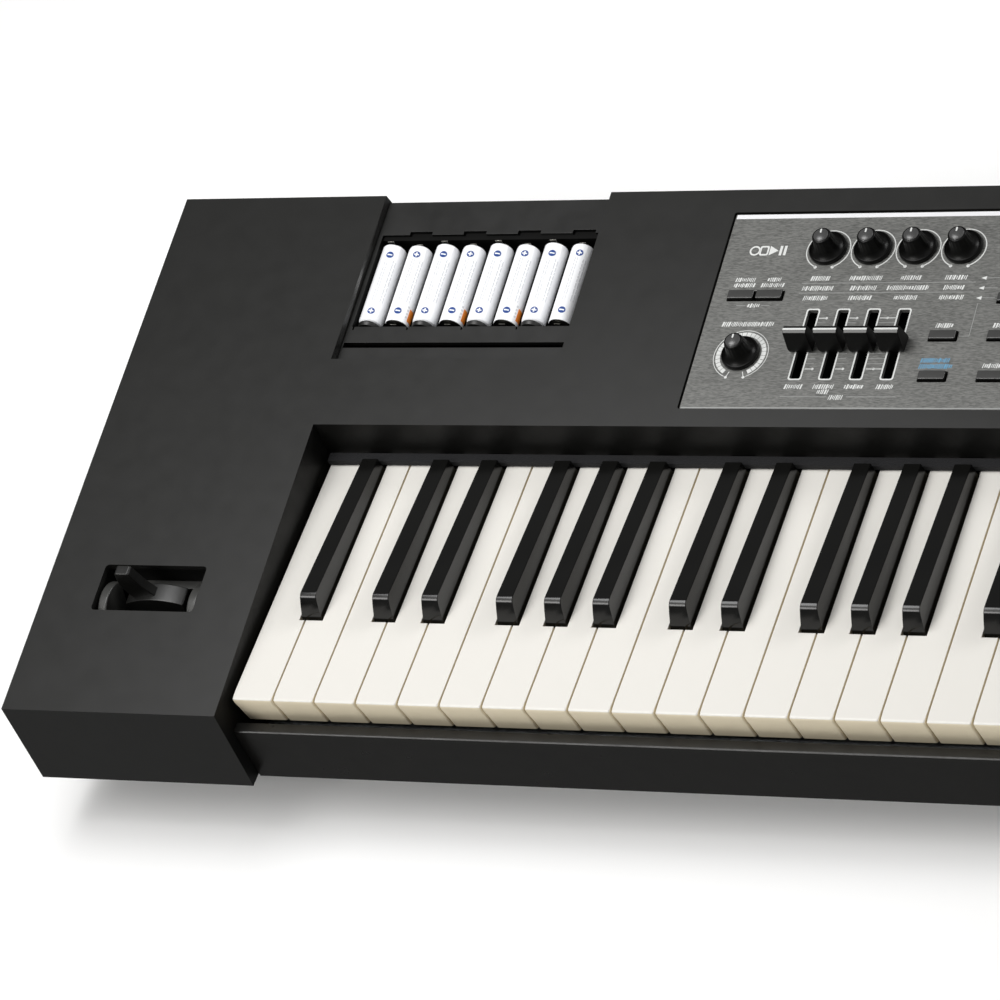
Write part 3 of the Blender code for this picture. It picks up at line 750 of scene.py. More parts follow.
def keyboard():
    meshes, set_name = {}, None
    black = finished("sharp", sharp_cap(), ["ebony"])
    for index in range(NATURALS):
        letter, octave = NOTES[index % 7], (index + 5) // 7
        left = SHARP_OFFSETS[NOTES[(index - 1) % 7]] if has_sharp(index - 1) else None
        right = PITCH + SHARP_OFFSETS[letter] if has_sharp(index) else None
        if (left, right) not in meshes:
            meshes[left, right] = finished(f"natural_{letter}", natural_shape(left, right),
                                           ["ivory", "side_painted_light", "front_painted_shade"])
        set_name = KEY_SETS.get(index, set_name)
        bodies = (f"naturals_{set_name}", f"sharps_{set_name}")
        if index < FIRST_SET:
            bodies = (f"key_{letter}{octave}", f"key_{letter}s{octave}")
        stands = index < FIRST_SET or index in KEY_SETS
        place = Vector((KEYS_X + index * PITCH, KEYS_Y, KEY_TOP))
        placed(f"white_{letter}{octave}", meshes[left, right], bodies[0],
               [bodies[0]] if stands else (), Matrix.Translation(place))
        if has_sharp(index):
            middle = place + Vector((PITCH + SHARP_OFFSETS[letter], 0.0, 0.0))
            placed(f"black_{letter}s{octave}", black, bodies[1],
                   [bodies[1]] if stands else (), Matrix.Translation(middle))
    piece("key_felt_strip", felt_strip(), ["felt"], stands_for=["key_felt"],
          sharp=60.0)
    coat_node("keybed_chassis", "chassis")


def felt_strip():
    """The strip over the keys' backs, with a slightly wavy edge."""
    made = box(FELT_LOW.x, FELT_HIGH.x, FELT_LOW.y, FELT_HIGH.y, FELT_LOW.z, FELT_HIGH.z)
    long_edges = [edge for edge in made.edges
                  if abs(edge.verts[0].co.x - edge.verts[1].co.x) > 0.1]
    bmesh.ops.subdivide_edges(made, edges=long_edges, cuts=160, use_grid_fill=True)
    draw = random.Random(5)
    for vertex in made.verts:
        if vertex.co.y < FELT_LOW.y + 0.0001:
            vertex.co.y += draw.uniform(0.0, 0.00025)
            vertex.co.z -= draw.uniform(0.0, 0.0003) if vertex.co.z > FELT_HIGH.z - 0.001 else 0.0
    return made


# ---------------------------------------------------------------- bender


def bender():
    """A lever that turns left and right in a cradle that tips away from the player."""
    low, high = deck_box("bender_cradle")
    lever_low, lever_high = deck_box("bender_lever")
    place = deck(BENDER_U, BENDER_V)
    half_u, half_v = BENDER_HALF

    # The well under the opening, in the darker well plastic: painted shade
    outer = prism(rounded(-half_u - 0.002, half_u + 0.002, -half_v - 0.002, half_v + 0.002,
                          0.004), -0.032, -0.0034)
    inner = prism(rounded(-half_u + 0.0002, half_u - 0.0002, -half_v + 0.0002, half_v - 0.0002,
                          0.0022), -0.031, 0.01)
    piece("bender_well", carved(outer, inner), ["well"], where=place)

    shelf = box(-half_u - 0.0010, half_u + 0.0010, half_v - 0.0048, half_v + 0.0010, -0.0160,
                -0.0140)
    piece("bender_shelf", eased(shelf, 0.0004, 2), ["grey"], where=place)

    # The cradle: a rounded horn at each end and a low beam between them
    def horn(inner_u, outer_u):
        centre_v, centre_w, radius = -0.0034, -0.0175, 0.0155
        outline = arc(centre_v, centre_w, radius, 131, 36, 16)
        outline += [(0.0050, -0.0180), (0.0030, -0.0290), (-0.0118, -0.0290)]
        shape = prism(outline, *sorted((inner_u, outer_u)), "X")
        return eased(shape, 0.0009, 3, least=40.0)

    half = (high.x - low.x) / 2
    horns = [horn(side * (half - 0.0052), side * half) for side in (-1, 1)]
    beam = eased(box(-half + 0.004, half - 0.004, -0.0118, -0.0068, -0.0290, -0.0245), 0.0008, 2)
    piece("bender_horns", merged(*horns, beam), ["grey"], body="bender_cradle",
          stands_for=["bender_cradle"], where=place)

    # The lever: a rocker whose top is an arc about the turning axis, and a thumb paddle
    hub = (TO_DECK @ Vector(JOINTS["bender_turn"]["pos_m"])).z
    radius = 0.0370
    front, back = lever_low.y - BENDER_V, lever_high.y - BENDER_V
    top = arc(0.0, hub, radius, 62, 118, 26)
    rocker = prism([*top, (-0.015, hub + radius * 0.55), (0.015, hub + radius * 0.55)],
                   front, back, "Y")
    eased(rocker, 0.0008, 2, above(-0.016), least=40.0)
    stem = [(-0.0115, -0.0090), (0.0030, -0.0070), (0.0010, -0.0040), (-0.0022, 0.0030),
            (-0.0040, 0.0100), (-0.0048, 0.0140), (-0.0056, 0.0149), (-0.0126, 0.0149),
            (-0.0134, 0.0140), (-0.0148, 0.0070), (-0.0148, 0.0020), (-0.0135, -0.0040)]
    paddle = prism(stem, -0.0015, 0.0040, "Y")
    eased(paddle, 0.0008, 3, least=24.0)
    # The paddle's lower right-facing sides take the darker inner plastic: painted shade on that
    # side.
    for face in paddle.faces:
        if face.normal.x > 0.3 and face.calc_center_median().z < 0.0140:
            face.material_index = 1
    piece("bender_paddle", merged(rocker, paddle), ["black", "shade"], body="bender_lever",
          stands_for=["bender_lever"], where=place, sharp=40.0)


# ---------------------------------------------------------------- batteries

CELLS = 8
CELLS_LOW, CELLS_HIGH = deck_box("battery_cells")
CELL_RADIUS = (CELLS_HIGH.z - CELLS_LOW.z) / 2
CELL_LENGTH = CELLS_HIGH.y - CELLS_LOW.y - 0.0014
WELL_V = (0.2444, 0.3016)
GROOVE_V = (0.2308, 0.2341)
TAB_PITCH = 0.0320


def tray():
    """The bay's floor with its well, the cover's tab slots, a groove and small front notches."""
    u0, u1, v0, v1 = TRAY_LOW.x, TRAY_HIGH.x, TRAY_LOW.y, TRAY_HIGH.y
    floor = TRAY_HIGH.z
    front, rear = WELL_V
    plate = box(u0, u1, v0, v1, floor - 0.0025, floor)
    tub = box(u0, u1, front - 0.0020, rear + 0.0030, TRAY_LOW.z, floor)
    hollow = box(u0 + 0.0024, u1 - 0.0020, front, rear, TRAY_LOW.z + 0.0020, 0.01)
    ledge = box(u0 + 0.0024, u1 - 0.0020, rear - 0.0002, rear + 0.0026, floor - 0.0016, 0.01)
    groove = box(u0 + 0.0008, u1 - 0.0023, *GROOVE_V, floor - 0.0040, 0.01)
    slots = []
    for step in range(4):
        start = u0 + 0.0184 + step * TAB_PITCH
        slots.append(box(start, start + 0.0133, rear + 0.0024, rear + 0.0047, floor - 0.0020,
                         0.01))
        start = u0 + 0.0030 + step * TAB_PITCH
        slots.append(box(start, start + 0.0009, front - 0.0021, front + 0.0002, floor - 0.0030,
                         0.01))
    body = carved(joined(plate, tub), hollow, ledge, groove, merged(*slots))
    eased(body, 0.0003, 2, above(floor - 0.001), least=50.0)
    # Faces sunk below the floor take the darker well plastic: painted shade in the well, groove and
    # slots.
    for face in body.faces:
        if face.calc_center_median().z < floor - 0.0008:
            face.material_index = 1
    return body


def wrapped(points, radius, lift):
    """A flat mark bent round a cell: x goes round the cylinder and y along it."""
    made = bmesh.new()
    rings = []
    for height in (lift, lift - 0.00012):
        reach = radius + height
        rings.append([made.verts.new((reach * math.sin(x / radius), y,
                                      reach * math.cos(x / radius))) for x, y in points])
    made.faces.new(rings[0])
    made.faces.new(rings[1])
    for start in range(len(points)):
        after = (start + 1) % len(points)
        made.faces.new((rings[0][start], rings[0][after], rings[1][after], rings[1][start]))
    bmesh.ops.recalc_face_normals(made, faces=made.faces)
    return made


def wrapped_bar(x0, x1, y0, y1, radius, lift=0.00006):
    steps = max(2, int(abs(x1 - x0) / 0.0006))
    rows = [x0 + (x1 - x0) * step / steps for step in range(steps + 1)]
    return merged(*[wrapped([(a, y0), (b, y0), (b, y1), (a, y1)], radius, lift)
                    for a, b in zip(rows, rows[1:])])


def wrapped_ring(x, y, outer, inner, radius):
    steps = 20
    wide = arc(x, y, outer, 0, 360, steps)
    thin = arc(x, y, inner, 0, 360, steps)
    return merged(*[wrapped([wide[step], wide[step + 1], thin[step + 1], thin[step]], radius,
                            0.00006) for step in range(steps)])


def cell(plus_back, tag):
    """One cell along Y about its middle. Its sleeve, prints and metal ends are one mesh."""
    radius = CELL_RADIUS
    half = CELL_LENGTH / 2
    sleeve = lathe([(radius - 0.0007, -half + 0.0006), (radius - 0.0006, -half),
                    (radius - 0.0003, -half), (radius, -half + 0.0005),
                    (radius, half - 0.0022), (radius - 0.0003, half - 0.0010),
                    (radius - 0.0010, half - 0.0004), (radius - 0.0014, half - 0.0006),
                    (0.0, half - 0.0006)], 40)
    nub = lathe([(0.0, half - 0.0012), (0.0022, half - 0.0012), (0.0022, half + 0.0001),
                 (0.0018, half + 0.0005), (0.0, half + 0.0005)], 24)
    top = lathe([(0.0, half - 0.0010), (radius - 0.0014, half - 0.0010),
                 (radius - 0.0016, half - 0.00045), (0.0, half - 0.00045)], 32)
    base = lathe([(0.0, -half - 0.0001), (radius - 0.0022, -half - 0.0001),
                  (radius - 0.0016, -half + 0.0003), (radius - 0.0010, -half - 0.0001),
                  (radius - 0.0002, -half - 0.0001), (radius - 0.0002, -half + 0.0010),
                  (0.0, -half + 0.0010)], 32)
    # The lathe stands on Z: lay it along Y with its plus end to the back
    parts = [tinted(turned(shape, -90.0, "X"), index)
             for shape, index in ((sleeve, 0), (nub, 1), (top, 5), (base, 5))]
    body = merged(*parts)
    if not plus_back:
        turned(body, 180.0, "Z")
    marks = []
    lift = 0.00013
    rear, front = half - 0.0069, -half + 0.0062
    for y, plus in ((rear, plus_back), (front, not plus_back)):
        middle, long, thin = 0.0016, 0.0013, 0.0004
        marks.append(tinted(wrapped_ring(middle, y, 0.0020, 0.0002, radius), 2))
        marks.append(wrapped_bar(middle - long, middle + long, y - thin, y + thin, radius, lift))
        if plus:
            marks.append(wrapped_bar(middle - thin, middle + thin, y - long, y + long, radius,
                                     lift))
    draw = random.Random(11 if plus_back else 23)
    for line_x, width in ((0.0000, 0.0004), (0.0013, 0.0003), (0.0044, 0.0004),
                          (0.0058, 0.0004)):
        y = -half + 0.0125
        while y < half - 0.0105:
            run = draw.uniform(0.0012, 0.0042)
            marks.append(tinted(wrapped_bar(line_x, line_x + width, y,
                                            min(y + run, half - 0.010), radius), 3))
            y += run + 0.0007
    if tag:
        marks.append(tinted(wrapped_bar(0.0080, 0.0132, -half + 0.0022, -half + 0.0098, radius), 4))
        for step in range(4):
            y = -half + 0.0034 + step * 0.0021
            marks.append(tinted(wrapped_bar(0.0063, 0.0074, y, y + 0.0012, radius), 3))
    return merged(body, *marks)


def contact(forward, reach):
    """A bent spring strip that presses on a cell's end, standing as high as its reach."""
    turn = -1 if forward else 1
    strip = prism([(0.0, -0.0045), (turn * 0.0010, -0.0010), (turn * 0.0011, 0.0020),
                   (turn * 0.0004, reach), (0.0, reach), (turn * 0.0007, 0.0020),
                   (turn * 0.0006, -0.0010), (-turn * 0.0003, -0.0045)], -0.0018, 0.0018, "X")
    return eased(strip, 0.00008, 1)


def batteries():
    piece("battery_bay", tray(), ["bay", "well"], stands_for=["battery_tray"],
          where=DECK)
    low, high = CELLS_LOW, CELLS_HIGH
    first = low.x + CELL_RADIUS
    step = (high.x - low.x - 2 * CELL_RADIUS) / (CELLS - 1)
    v, w = (low.y + high.y) / 2, (low.z + high.z) / 2
    meshes = {}
    contacts = []
    for number in range(CELLS):
        plus_back = number % 2 == 1
        tag = plus_back and number < 7
        if (plus_back, tag) not in meshes:
            meshes[plus_back, tag] = finished(
                "cell", cell(plus_back, tag),
                ["sleeve", "chrome", "cell_blue", "cell_grey", "cell_orange", "end"])
        placed(f"cell_{number + 1}", meshes[plus_back, tag], "case",
               ["battery_cells"] if number == 0 else (), deck(first + number * step, v, w))
        for end in (-1, 1):
            reach = 0.0070 if end > 0 and not plus_back else 0.0040
            contacts.append(at(contact(end > 0, reach), first + number * step,
                               v + end * (CELL_LENGTH / 2 + 0.0014), w))
    piece("cell_contacts", merged(*contacts), ["nickel"], where=DECK)
    stops = []
    for number in range(0, CELLS, 2):
        wide = CELL_RADIUS - 0.0003
        stop = turned(lathe([(0.0, 0.0), (wide, 0.0), (wide, 0.0008), (wide - 0.0005, 0.0022),
                             (0.0, 0.0022)], 32), 90.0, "X")
        stops.append(at(stop, first + number * step, v - CELL_LENGTH / 2 - 0.0002, w))
    piece("cell_stops", merged(*stops), ["bay"], where=DECK)


# ---------------------------------------------------------------- panel

KNOBS = [deck_middle(f"sound_knob_{number}") for number in range(1, 5)]
VOLUME = deck_middle("volume_knob")
DIAL = deck_middle("value_dial")
SLIDERS = [deck_middle(f"level_slider_{number}") for number in range(1, 5)]
SLOT_V = (0.2083, 0.2503)
SLOT_HALF = 0.0029
BUTTONS = ["mode_button_left", "mode_button_right", "select_button", "voice_button",
           "utility_button_1", "utility_button_2", "utility_button_3"]
BUTTON_HALF = (0.0071, 0.0026)
BUTTON_GAP = 0.0006
PLATE_TOP = -0.0006
PRINT = 0.00007
THIN = 0.0003


def area(node, grow=0.0):
    low, high = deck_box(node)
    return low.x - grow, high.x + grow, low.y - grow, high.y + grow


def plate():
    """The brushed plate with its real openings."""
    base = prism(rounded(PANEL_LOW.x, PANEL_HIGH.x, PANEL_LOW.y, PANEL_HIGH.y, 0.0010), -0.0030,
                 PLATE_TOP)
    holes = [at(disc(0.0036, -0.01, 0.01), *spot) for spot in [*KNOBS, VOLUME, DIAL]]
    holes += [prism(rounded(u - SLOT_HALF, u + SLOT_HALF, *SLOT_V, 0.0009), -0.01, 0.01)
              for u, _ in SLIDERS]
    pair = [deck_middle(name) for name in BUTTONS[:2]]
    half_u, half_v = BUTTON_HALF[0] + BUTTON_GAP, BUTTON_HALF[1] + BUTTON_GAP
    holes.append(prism(rounded(pair[0][0] - half_u, pair[1][0] + half_u, pair[0][1] - half_v,
                               pair[0][1] + half_v, 0.0006), -0.01, 0.01))
    holes += [prism(rounded(u - half_u, u + half_u, v - half_v, v + half_v, 0.0006), -0.01, 0.01)
              for u, v in (deck_middle(name) for name in BUTTONS[2:])]
    holes += [prism(rounded(*area(node, GAP), 0.0008), -0.01, 0.01)
              for node in ("display_window", "tone_button_mat", "pad_mat")]
    body = carved(base, merged(*holes))
    return eased(body, 0.0003, 2, above(PLATE_TOP - 0.0001), least=50.0)


def flat(points):
    """A printed mark: a thin flake on the panel's face."""
    return prism(points, PLATE_TOP - PRINT / 2, PLATE_TOP + PRINT)


def line(u0, v0, u1, v1, width):
    along = Vector((u1 - u0, v1 - v0)).normalized()
    side = Vector((-along.y, along.x)) * width / 2
    return flat([(u0 - side.x, v0 - side.y), (u1 - side.x, v1 - side.y),
                 (u1 + side.x, v1 + side.y), (u0 + side.x, v0 + side.y)])


def ribbon(outer, inner, closed=False):
    """Mark between two outlines with equally many points."""
    count = len(outer) if closed else len(outer) - 1
    shapes = []
    for start in range(count):
        after = (start + 1) % len(outer)
        shapes.append(flat([outer[start], outer[after], inner[after], inner[start]]))
    return merged(*shapes)


def ring(u, v, radius, width, opening):
    """A ring open at its lowest point by an angle each way."""
    start, end = -90 + opening, 270 - opening
    return ribbon(arc(u, v, radius + width / 2, start, end, 48),
                  arc(u, v, radius - width / 2, start, end, 48))


def dot(u, v, radius):
    return flat(arc(u, v, radius, 0, 345, 23))


def word(u, v, width, height=0.0028, seed=1, lean=0.18):
    """A run of leaning ticks that stands for a label and spells nothing."""
    draw = random.Random(seed)
    shapes = []
    place = u - width / 2
    while place < u + width / 2 - 0.0003:
        thick = draw.choice((0.00036, 0.00045, 0.0006, 0.0009))
        tall = height / 2 * draw.choice((0.72, 1.0, 1.0))
        thick = min(thick, u + width / 2 - place)
        slide = lean * tall
        shapes.append(flat([(place - slide, v - tall), (place + thick - slide, v - tall),
                            (place + thick + slide, v + tall), (place + slide, v + tall)]))
        place += thick + draw.choice((0.0004, 0.0005, 0.0006))
    return merged(*shapes)


def outlined(u0, u1, v0, v1, width, radius):
    return ribbon(rounded(u0, u1, v0, v1, radius, 4),
                  rounded(u0 + width, u1 - width, v0 + width, v1 - width, radius - width / 2, 4),
                  closed=True)


def heading(u, v, size):
    """Four plain shapes in a row: a ring, a square, a triangle and two bars."""
    step = size * 0.86
    shapes = [ribbon(arc(u - 1.5 * step, v, size / 2, 0, 360, 30),
                     arc(u - 1.5 * step, v, size / 2 - 0.0009, 0, 360, 30)),
              outlined(u - 0.5 * step - size * 0.42, u - 0.5 * step + size * 0.42,
                       v - size / 2, v + size / 2, 0.0009, 0.0011)]
    left = u + 0.5 * step
    shapes.append(flat([(left - size * 0.36, v - size / 2), (left + size * 0.44, v),
                        (left - size * 0.36, v + size / 2)]))
    for side in (0.0, 0.40):
        start = u + 1.5 * step - size * 0.30 + side * size
        shapes.append(flat([(start, v - size / 2), (start + 0.0014, v - size / 2),
                            (start + 0.0014, v + size / 2), (start, v + size / 2)]))
    return merged(*shapes)


def knob_prints(white, grey):
    """Open rings, three rows of names, and an arrow at the end of each row."""
    first_u, knob_v = KNOBS[0]
    last_u = KNOBS[3][0]
    pitch = KNOBS[1][0] - first_u
    opening = 23
    for u, v in KNOBS:
        white.append(ring(u, v, 0.0118, 0.0006, opening))
        for side in (-1, 1):
            turn = math.radians(-90 + side * opening)
            white.append(dot(u + 0.0120 * math.cos(turn), v + 0.0120 * math.sin(turn), 0.0009))
    rows = ((-0.0181, (10.9, 17.3, 10.9, 12.1)), (-0.0243, (17.3, 13.8, 23.0, 11.0)),
            (-0.0304, (13.2, 12.8, 12.7, 13.1)))
    for number, (drop, widths) in enumerate(rows):
        for column, width in enumerate(widths):
            white.append(word(first_u + column * pitch + 0.0004, knob_v + drop, width / 1000,
                              seed=10 * number + column))
        v = knob_v + drop - 0.0005
        start = last_u + 0.0136
        white.append(flat([(start, v), (start + 0.0028, v - 0.0011), (start + 0.0028, v + 0.0011)]))
        grey.append(line(start + 0.0028, v, start + 0.0100, v, THIN))
    for drop in (-0.0211, -0.0272):
        grey.append(line(first_u - 0.0095, knob_v + drop, last_u + 0.0112, knob_v + drop, THIN))


def volume_prints(white):
    """A scale of pale segments inside a thin ring."""
    u, v = VOLUME
    white.append(ring(u, v, 0.0147, 0.00035, 24))
    segments = 26
    span = 300 / segments
    for step in range(segments):
        low = -60 + span * step
        high = low + span - 1.3
        white.append(ribbon(arc(u, v, 0.0136, low, high, 2), arc(u, v, 0.0112, low, high, 2)))
    for side in (-1, 1):
        turn = math.radians(-90 + side * 19)
        towards = Vector((math.cos(turn), math.sin(turn)))
        white.append(line(u + 0.0112 * towards.x, v + 0.0112 * towards.y,
                          u + 0.0145 * towards.x, v + 0.0145 * towards.y, 0.0004))
        white.append(dot(u + 0.0148 * towards.x, v + 0.0148 * towards.y, 0.0008))
    white.append(word(u - 0.0008, v + 0.0188, 0.0284, seed=41))


def slider_prints(white, grey):
    """Outlined slots, ticks between them, names and a bracket below."""
    low_v, high_v = SLOT_V
    for number, (u, _) in enumerate(SLIDERS):
        white.append(outlined(u - SLOT_HALF - 0.0008, u + SLOT_HALF + 0.0008, low_v - 0.0010,
                              high_v + 0.0009, 0.0008, 0.0014))
        if number == 3:
            continue
        end = 0.0127 if number == 2 else 0.0083
        for place, tick in enumerate((0.0370, 0.0341, 0.0153, 0.0121, 0.0090, 0.0058)):
            strong = place in (0, 5)
            inks = white if strong else grey
            inks.append(line(u + 0.0041, low_v + tick, u + end, low_v + tick,
                             0.00045 if strong else THIN))
            if strong:
                inks.append(dot(u + (0.0083 if number == 2 else end), low_v + tick, 0.0007))
    for number, width in enumerate((9.4, 11.2, 10.7, 9.3)):
        white.append(word(SLIDERS[number][0] + 0.0006, low_v - 0.0050, width / 1000,
                          seed=50 + number))
    white.append(word(SLIDERS[1][0] + 0.0008, low_v - 0.0081, 0.0059, seed=55))
    group = (SLIDERS[1][0] + SLIDERS[2][0]) / 2
    white.append(word(group + 0.0007, low_v - 0.0115, 0.0080, seed=56))
    for start, end in ((SLIDERS[0][0] - 0.0050, group - 0.0048),
                       (group + 0.0058, SLIDERS[3][0] + 0.0076)):
        grey.append(line(start, low_v - 0.0111, end, low_v - 0.0111, THIN))


def mode_prints(white, grey):
    """The names of the pair of mode buttons, and the heading over them."""
    first, second = (deck_middle(name) for name in BUTTONS[:2])
    for number, (spot, along, up, width) in enumerate((
            (first, 0.0, 0.0101, 0.0113), (second, 0.0, 0.0101, 0.0072),
            (first, 0.0001, 0.0066, 0.0118), (second, 0.0002, 0.0066, 0.0130))):
        white.append(word(spot[0] + along, spot[1] + up, width, 0.0025, seed=60 + number))
    middle = (first[0] + second[0]) / 2
    white.append(word(middle + 0.0003, first[1] - 0.0061, 0.0064, 0.0026, seed=64))
    low_v = first[1] - 0.0061
    for side in (-1, 1):
        grey.append(line(middle + side * 0.0045, low_v, middle + side * 0.0092, low_v, THIN))
    white.append(heading(middle + 0.0001, KNOBS[0][1] - 0.0003, 0.0060))


def button_prints(white, grey, blue):
    """The names of the single buttons, and the bracket that leads to them."""
    select, voice = deck_middle("select_button"), deck_middle("voice_button")
    white.append(word(select[0] - 0.0004, select[1] + 0.0065, 0.0096, seed=70))
    blue.append(word(voice[0] - 0.0007, voice[1] + 0.0098, 0.0151, 0.0026, seed=71))
    blue.append(word(voice[0] + 0.0002, voice[1] + 0.0062, 0.0173, 0.0028, seed=72))
    bend = select[0] + 0.0137
    grey.append(line(bend, select[1] + 0.0199, bend, select[1], THIN))
    grey.append(line(bend, select[1], select[0] + 0.0084, select[1], THIN))
    for number, name in enumerate(BUTTONS[4:]):
        u, v = deck_middle(name)
        white.append(word(u + 0.0004, v + 0.0065, 0.0125, seed=80 + number))


def right_prints(white, grey):
    """Marks on the part of the panel that stands right of the knobs."""
    u0, u1, v0, v1 = area("display_window")
    grey.append(outlined(u0 - 0.0040, u1 + 0.0040, v0 - 0.0040, v1 + 0.0040, 0.0004, 0.0030))
    u, v = DIAL
    white.append(ring(u, v, 0.0232, 0.0004, 24))
    for side in (-1, 1):
        white.append(dot(u + side * 0.0094, v - 0.0212, 0.0009))
    white.append(word(u, v + 0.0280, 0.0120, seed=90))
    u0, u1, v0, v1 = area("tone_button_mat")
    for column in range(8):
        for row in range(3):
            white.append(word(u0 + 0.0100 + column * (u1 - u0 - 0.020) / 7,
                              v0 + 0.0112 + row * (v1 - v0 - 0.0100) / 2, 0.0110, 0.0022,
                              seed=100 + 3 * column + row))
    grey.append(line(u0, v1 + 0.0090, u1, v1 + 0.0090, THIN))
    white.append(word((u0 + u1) / 2, v1 + 0.0125, 0.0240, seed=130))
    u0, u1, v0, v1 = area("pad_mat")
    grey.append(outlined(u0 - 0.0030, u1 + 0.0030, v0 - 0.0030, v1 + 0.0030, 0.0004, 0.0024))
    white.append(word((u0 + u1) / 2, v1 + 0.0060, 0.0200, seed=131))


def knob(name, spot):
    """A wide skirt, a waisted fluted grip and a flat cap with a white pointer."""
    profile = [(0.0, -0.0006), (0.0098, -0.0006), (0.0101, -0.0002), (0.0101, 0.0013),
               (0.0098, 0.0018), (0.0093, 0.0018), (0.0090, 0.0013), (0.0085, 0.0014),
               (0.0072, 0.0026), (0.0063, 0.0044), (0.0057, 0.0070), (0.0053, 0.0095),
               (0.0051, 0.0108), (0.0048, 0.0115), (0.0042, 0.0118), (0.0, 0.0118)]
    body = lathe(profile, 96, 18, 0.00016, fluted=(10, 11, 12))
    shaft = disc(0.0030, -0.0080, 0.0010)
    cap = tinted(lathe([(0.0, 0.0115), (0.0039, 0.0115), (0.0039, 0.0119), (0.0034, 0.0123),
                        (0.0025, 0.0126), (0.0012, 0.0128), (0.0, 0.01285)], 40), 1)
    pointer = tinted(prism(rounded(-0.00042, 0.00042, 0.0006, 0.0031, 0.0004, 3), 0.0121, 0.0130),
                     2)
    piece(f"{name}_body", merged(body, shaft, cap, pointer), ["control", "cap", "ink"],
          body=name, stands_for=[name], where=deck(*spot), sharp=50.0)


def dial():
    """The large value dial: a dished cap with a finger hollow and a ribbed rim."""
    profile = [(0.0, 0.0004), (0.0192, 0.0004), (0.0200, 0.0012), (0.0198, 0.0030),
               (0.0172, 0.0040), (0.0168, 0.0050), (0.0162, 0.0096), (0.0154, 0.0107),
               (0.0146, 0.0110), (0.0138, 0.0107), (0.0100, 0.0100), (0.0, 0.0098)]
    body = lathe(profile, 144, 36, 0.0005, fluted=(5, 6))
    finger = bmesh.new()
    bmesh.ops.create_uvsphere(finger, u_segments=32, v_segments=16, radius=0.0060)
    at(finger, 0.0, 0.0085, 0.0150)
    piece("value_dial_body", carved(body, finger), ["control"], body="value_dial",
          stands_for=["value_dial"], where=deck(*DIAL), sharp=40.0)


def slider(number):
    """A tall blade of a cap, with a white line on its ridge and a pale grey front chamfer that is a
    painted highlight.
    """
    half = 0.0066
    cap = prism([(-0.0044, 0.0002), (0.0044, 0.0002), (0.0046, 0.0026), (0.0023, 0.0132),
                 (0.0017, 0.0138), (-0.0006, 0.0140), (-0.0022, 0.0132), (-0.0046, 0.0026)],
                -half, half, "X")
    for vertex in cap.verts:
        if vertex.co.z > 0.010:
            vertex.co.x *= 0.955
        elif vertex.co.z < 0.001 and vertex.co.y < 0.0:
            vertex.co.x *= 0.93
    # The faces that tilt up to the front take the pale grey: a painted highlight on the chamfer.
    for face in cap.faces:
        if face.normal.z > 0.5 and face.normal.y < -0.2:
            face.material_index = 2
    eased(cap, 0.00025, 2, least=30.0)
    mark = tinted(box(-half + 0.0004, half - 0.0004, -0.0007, 0.0004, 0.0136, 0.01415), 1)
    stem = box(-0.0012, 0.0012, -0.0030, 0.0030, -0.0070, 0.0020)
    name = f"level_slider_{number}"
    piece(f"{name}_cap", merged(cap, mark, stem), ["control", "ink", "ridge"], body=name,
          stands_for=[name], where=deck(*SLIDERS[number - 1]), sharp=40.0)


def button(name):
    """A key cap with a crowned top, reaching down into the panel's opening."""
    half_u, half_v = BUTTON_HALF
    cap = prism(rounded(-half_u, half_u, -half_v, half_v, 0.0005, 3), -0.0050, 0.0014)
    eased(cap, 0.0009, 3, above(0.001), least=50.0)
    # The sides take the black control plastic, darker than the top: painted shade on the cap's
    # sides.
    for face in cap.faces:
        if face.normal.z < 0.3:
            face.material_index = 1
    spot = deck_middle(name)
    piece(f"{name}_cap", cap, ["rubber", "control"], body=name,
          stands_for=[name], where=deck(*spot), sharp=40.0)


def key_mat(name, columns, rows, cap, height, finish, lamp):
    """Keytops moulded on one sheet, each with a small lamp window."""
    u0, u1, v0, v1 = area(name)
    shapes = [box(u0, u1, v0, v1, -0.0015, -0.0004)]
    for column in range(columns):
        for row in range(rows):
            u = u0 + cap[0] / 2 + 0.001 + column * (u1 - u0 - cap[0] - 0.002) / (columns - 1)
            v = v0 + cap[1] / 2 + 0.001 + row * (v1 - v0 - cap[1] - 0.002) / (rows - 1)
            top = prism(rounded(u - cap[0] / 2, u + cap[0] / 2, v - cap[1] / 2, v + cap[1] / 2,
                                0.0014, 4), -0.0006, height)
            shapes.append(eased(top, 0.0007, 3, above(height - 0.0002), least=50.0))
            shapes.append(tinted(prism(rounded(u - lamp, u + lamp, v + cap[1] / 2 - 0.0022,
                                               v + cap[1] / 2 - 0.0013, 0.0004, 3),
                                       height - 0.0001, height + 0.00012), 1))
    piece(f"{name}_keys", merged(*shapes), [finish, "screen"],
          stands_for=[name], where=DECK, sharp=40.0)


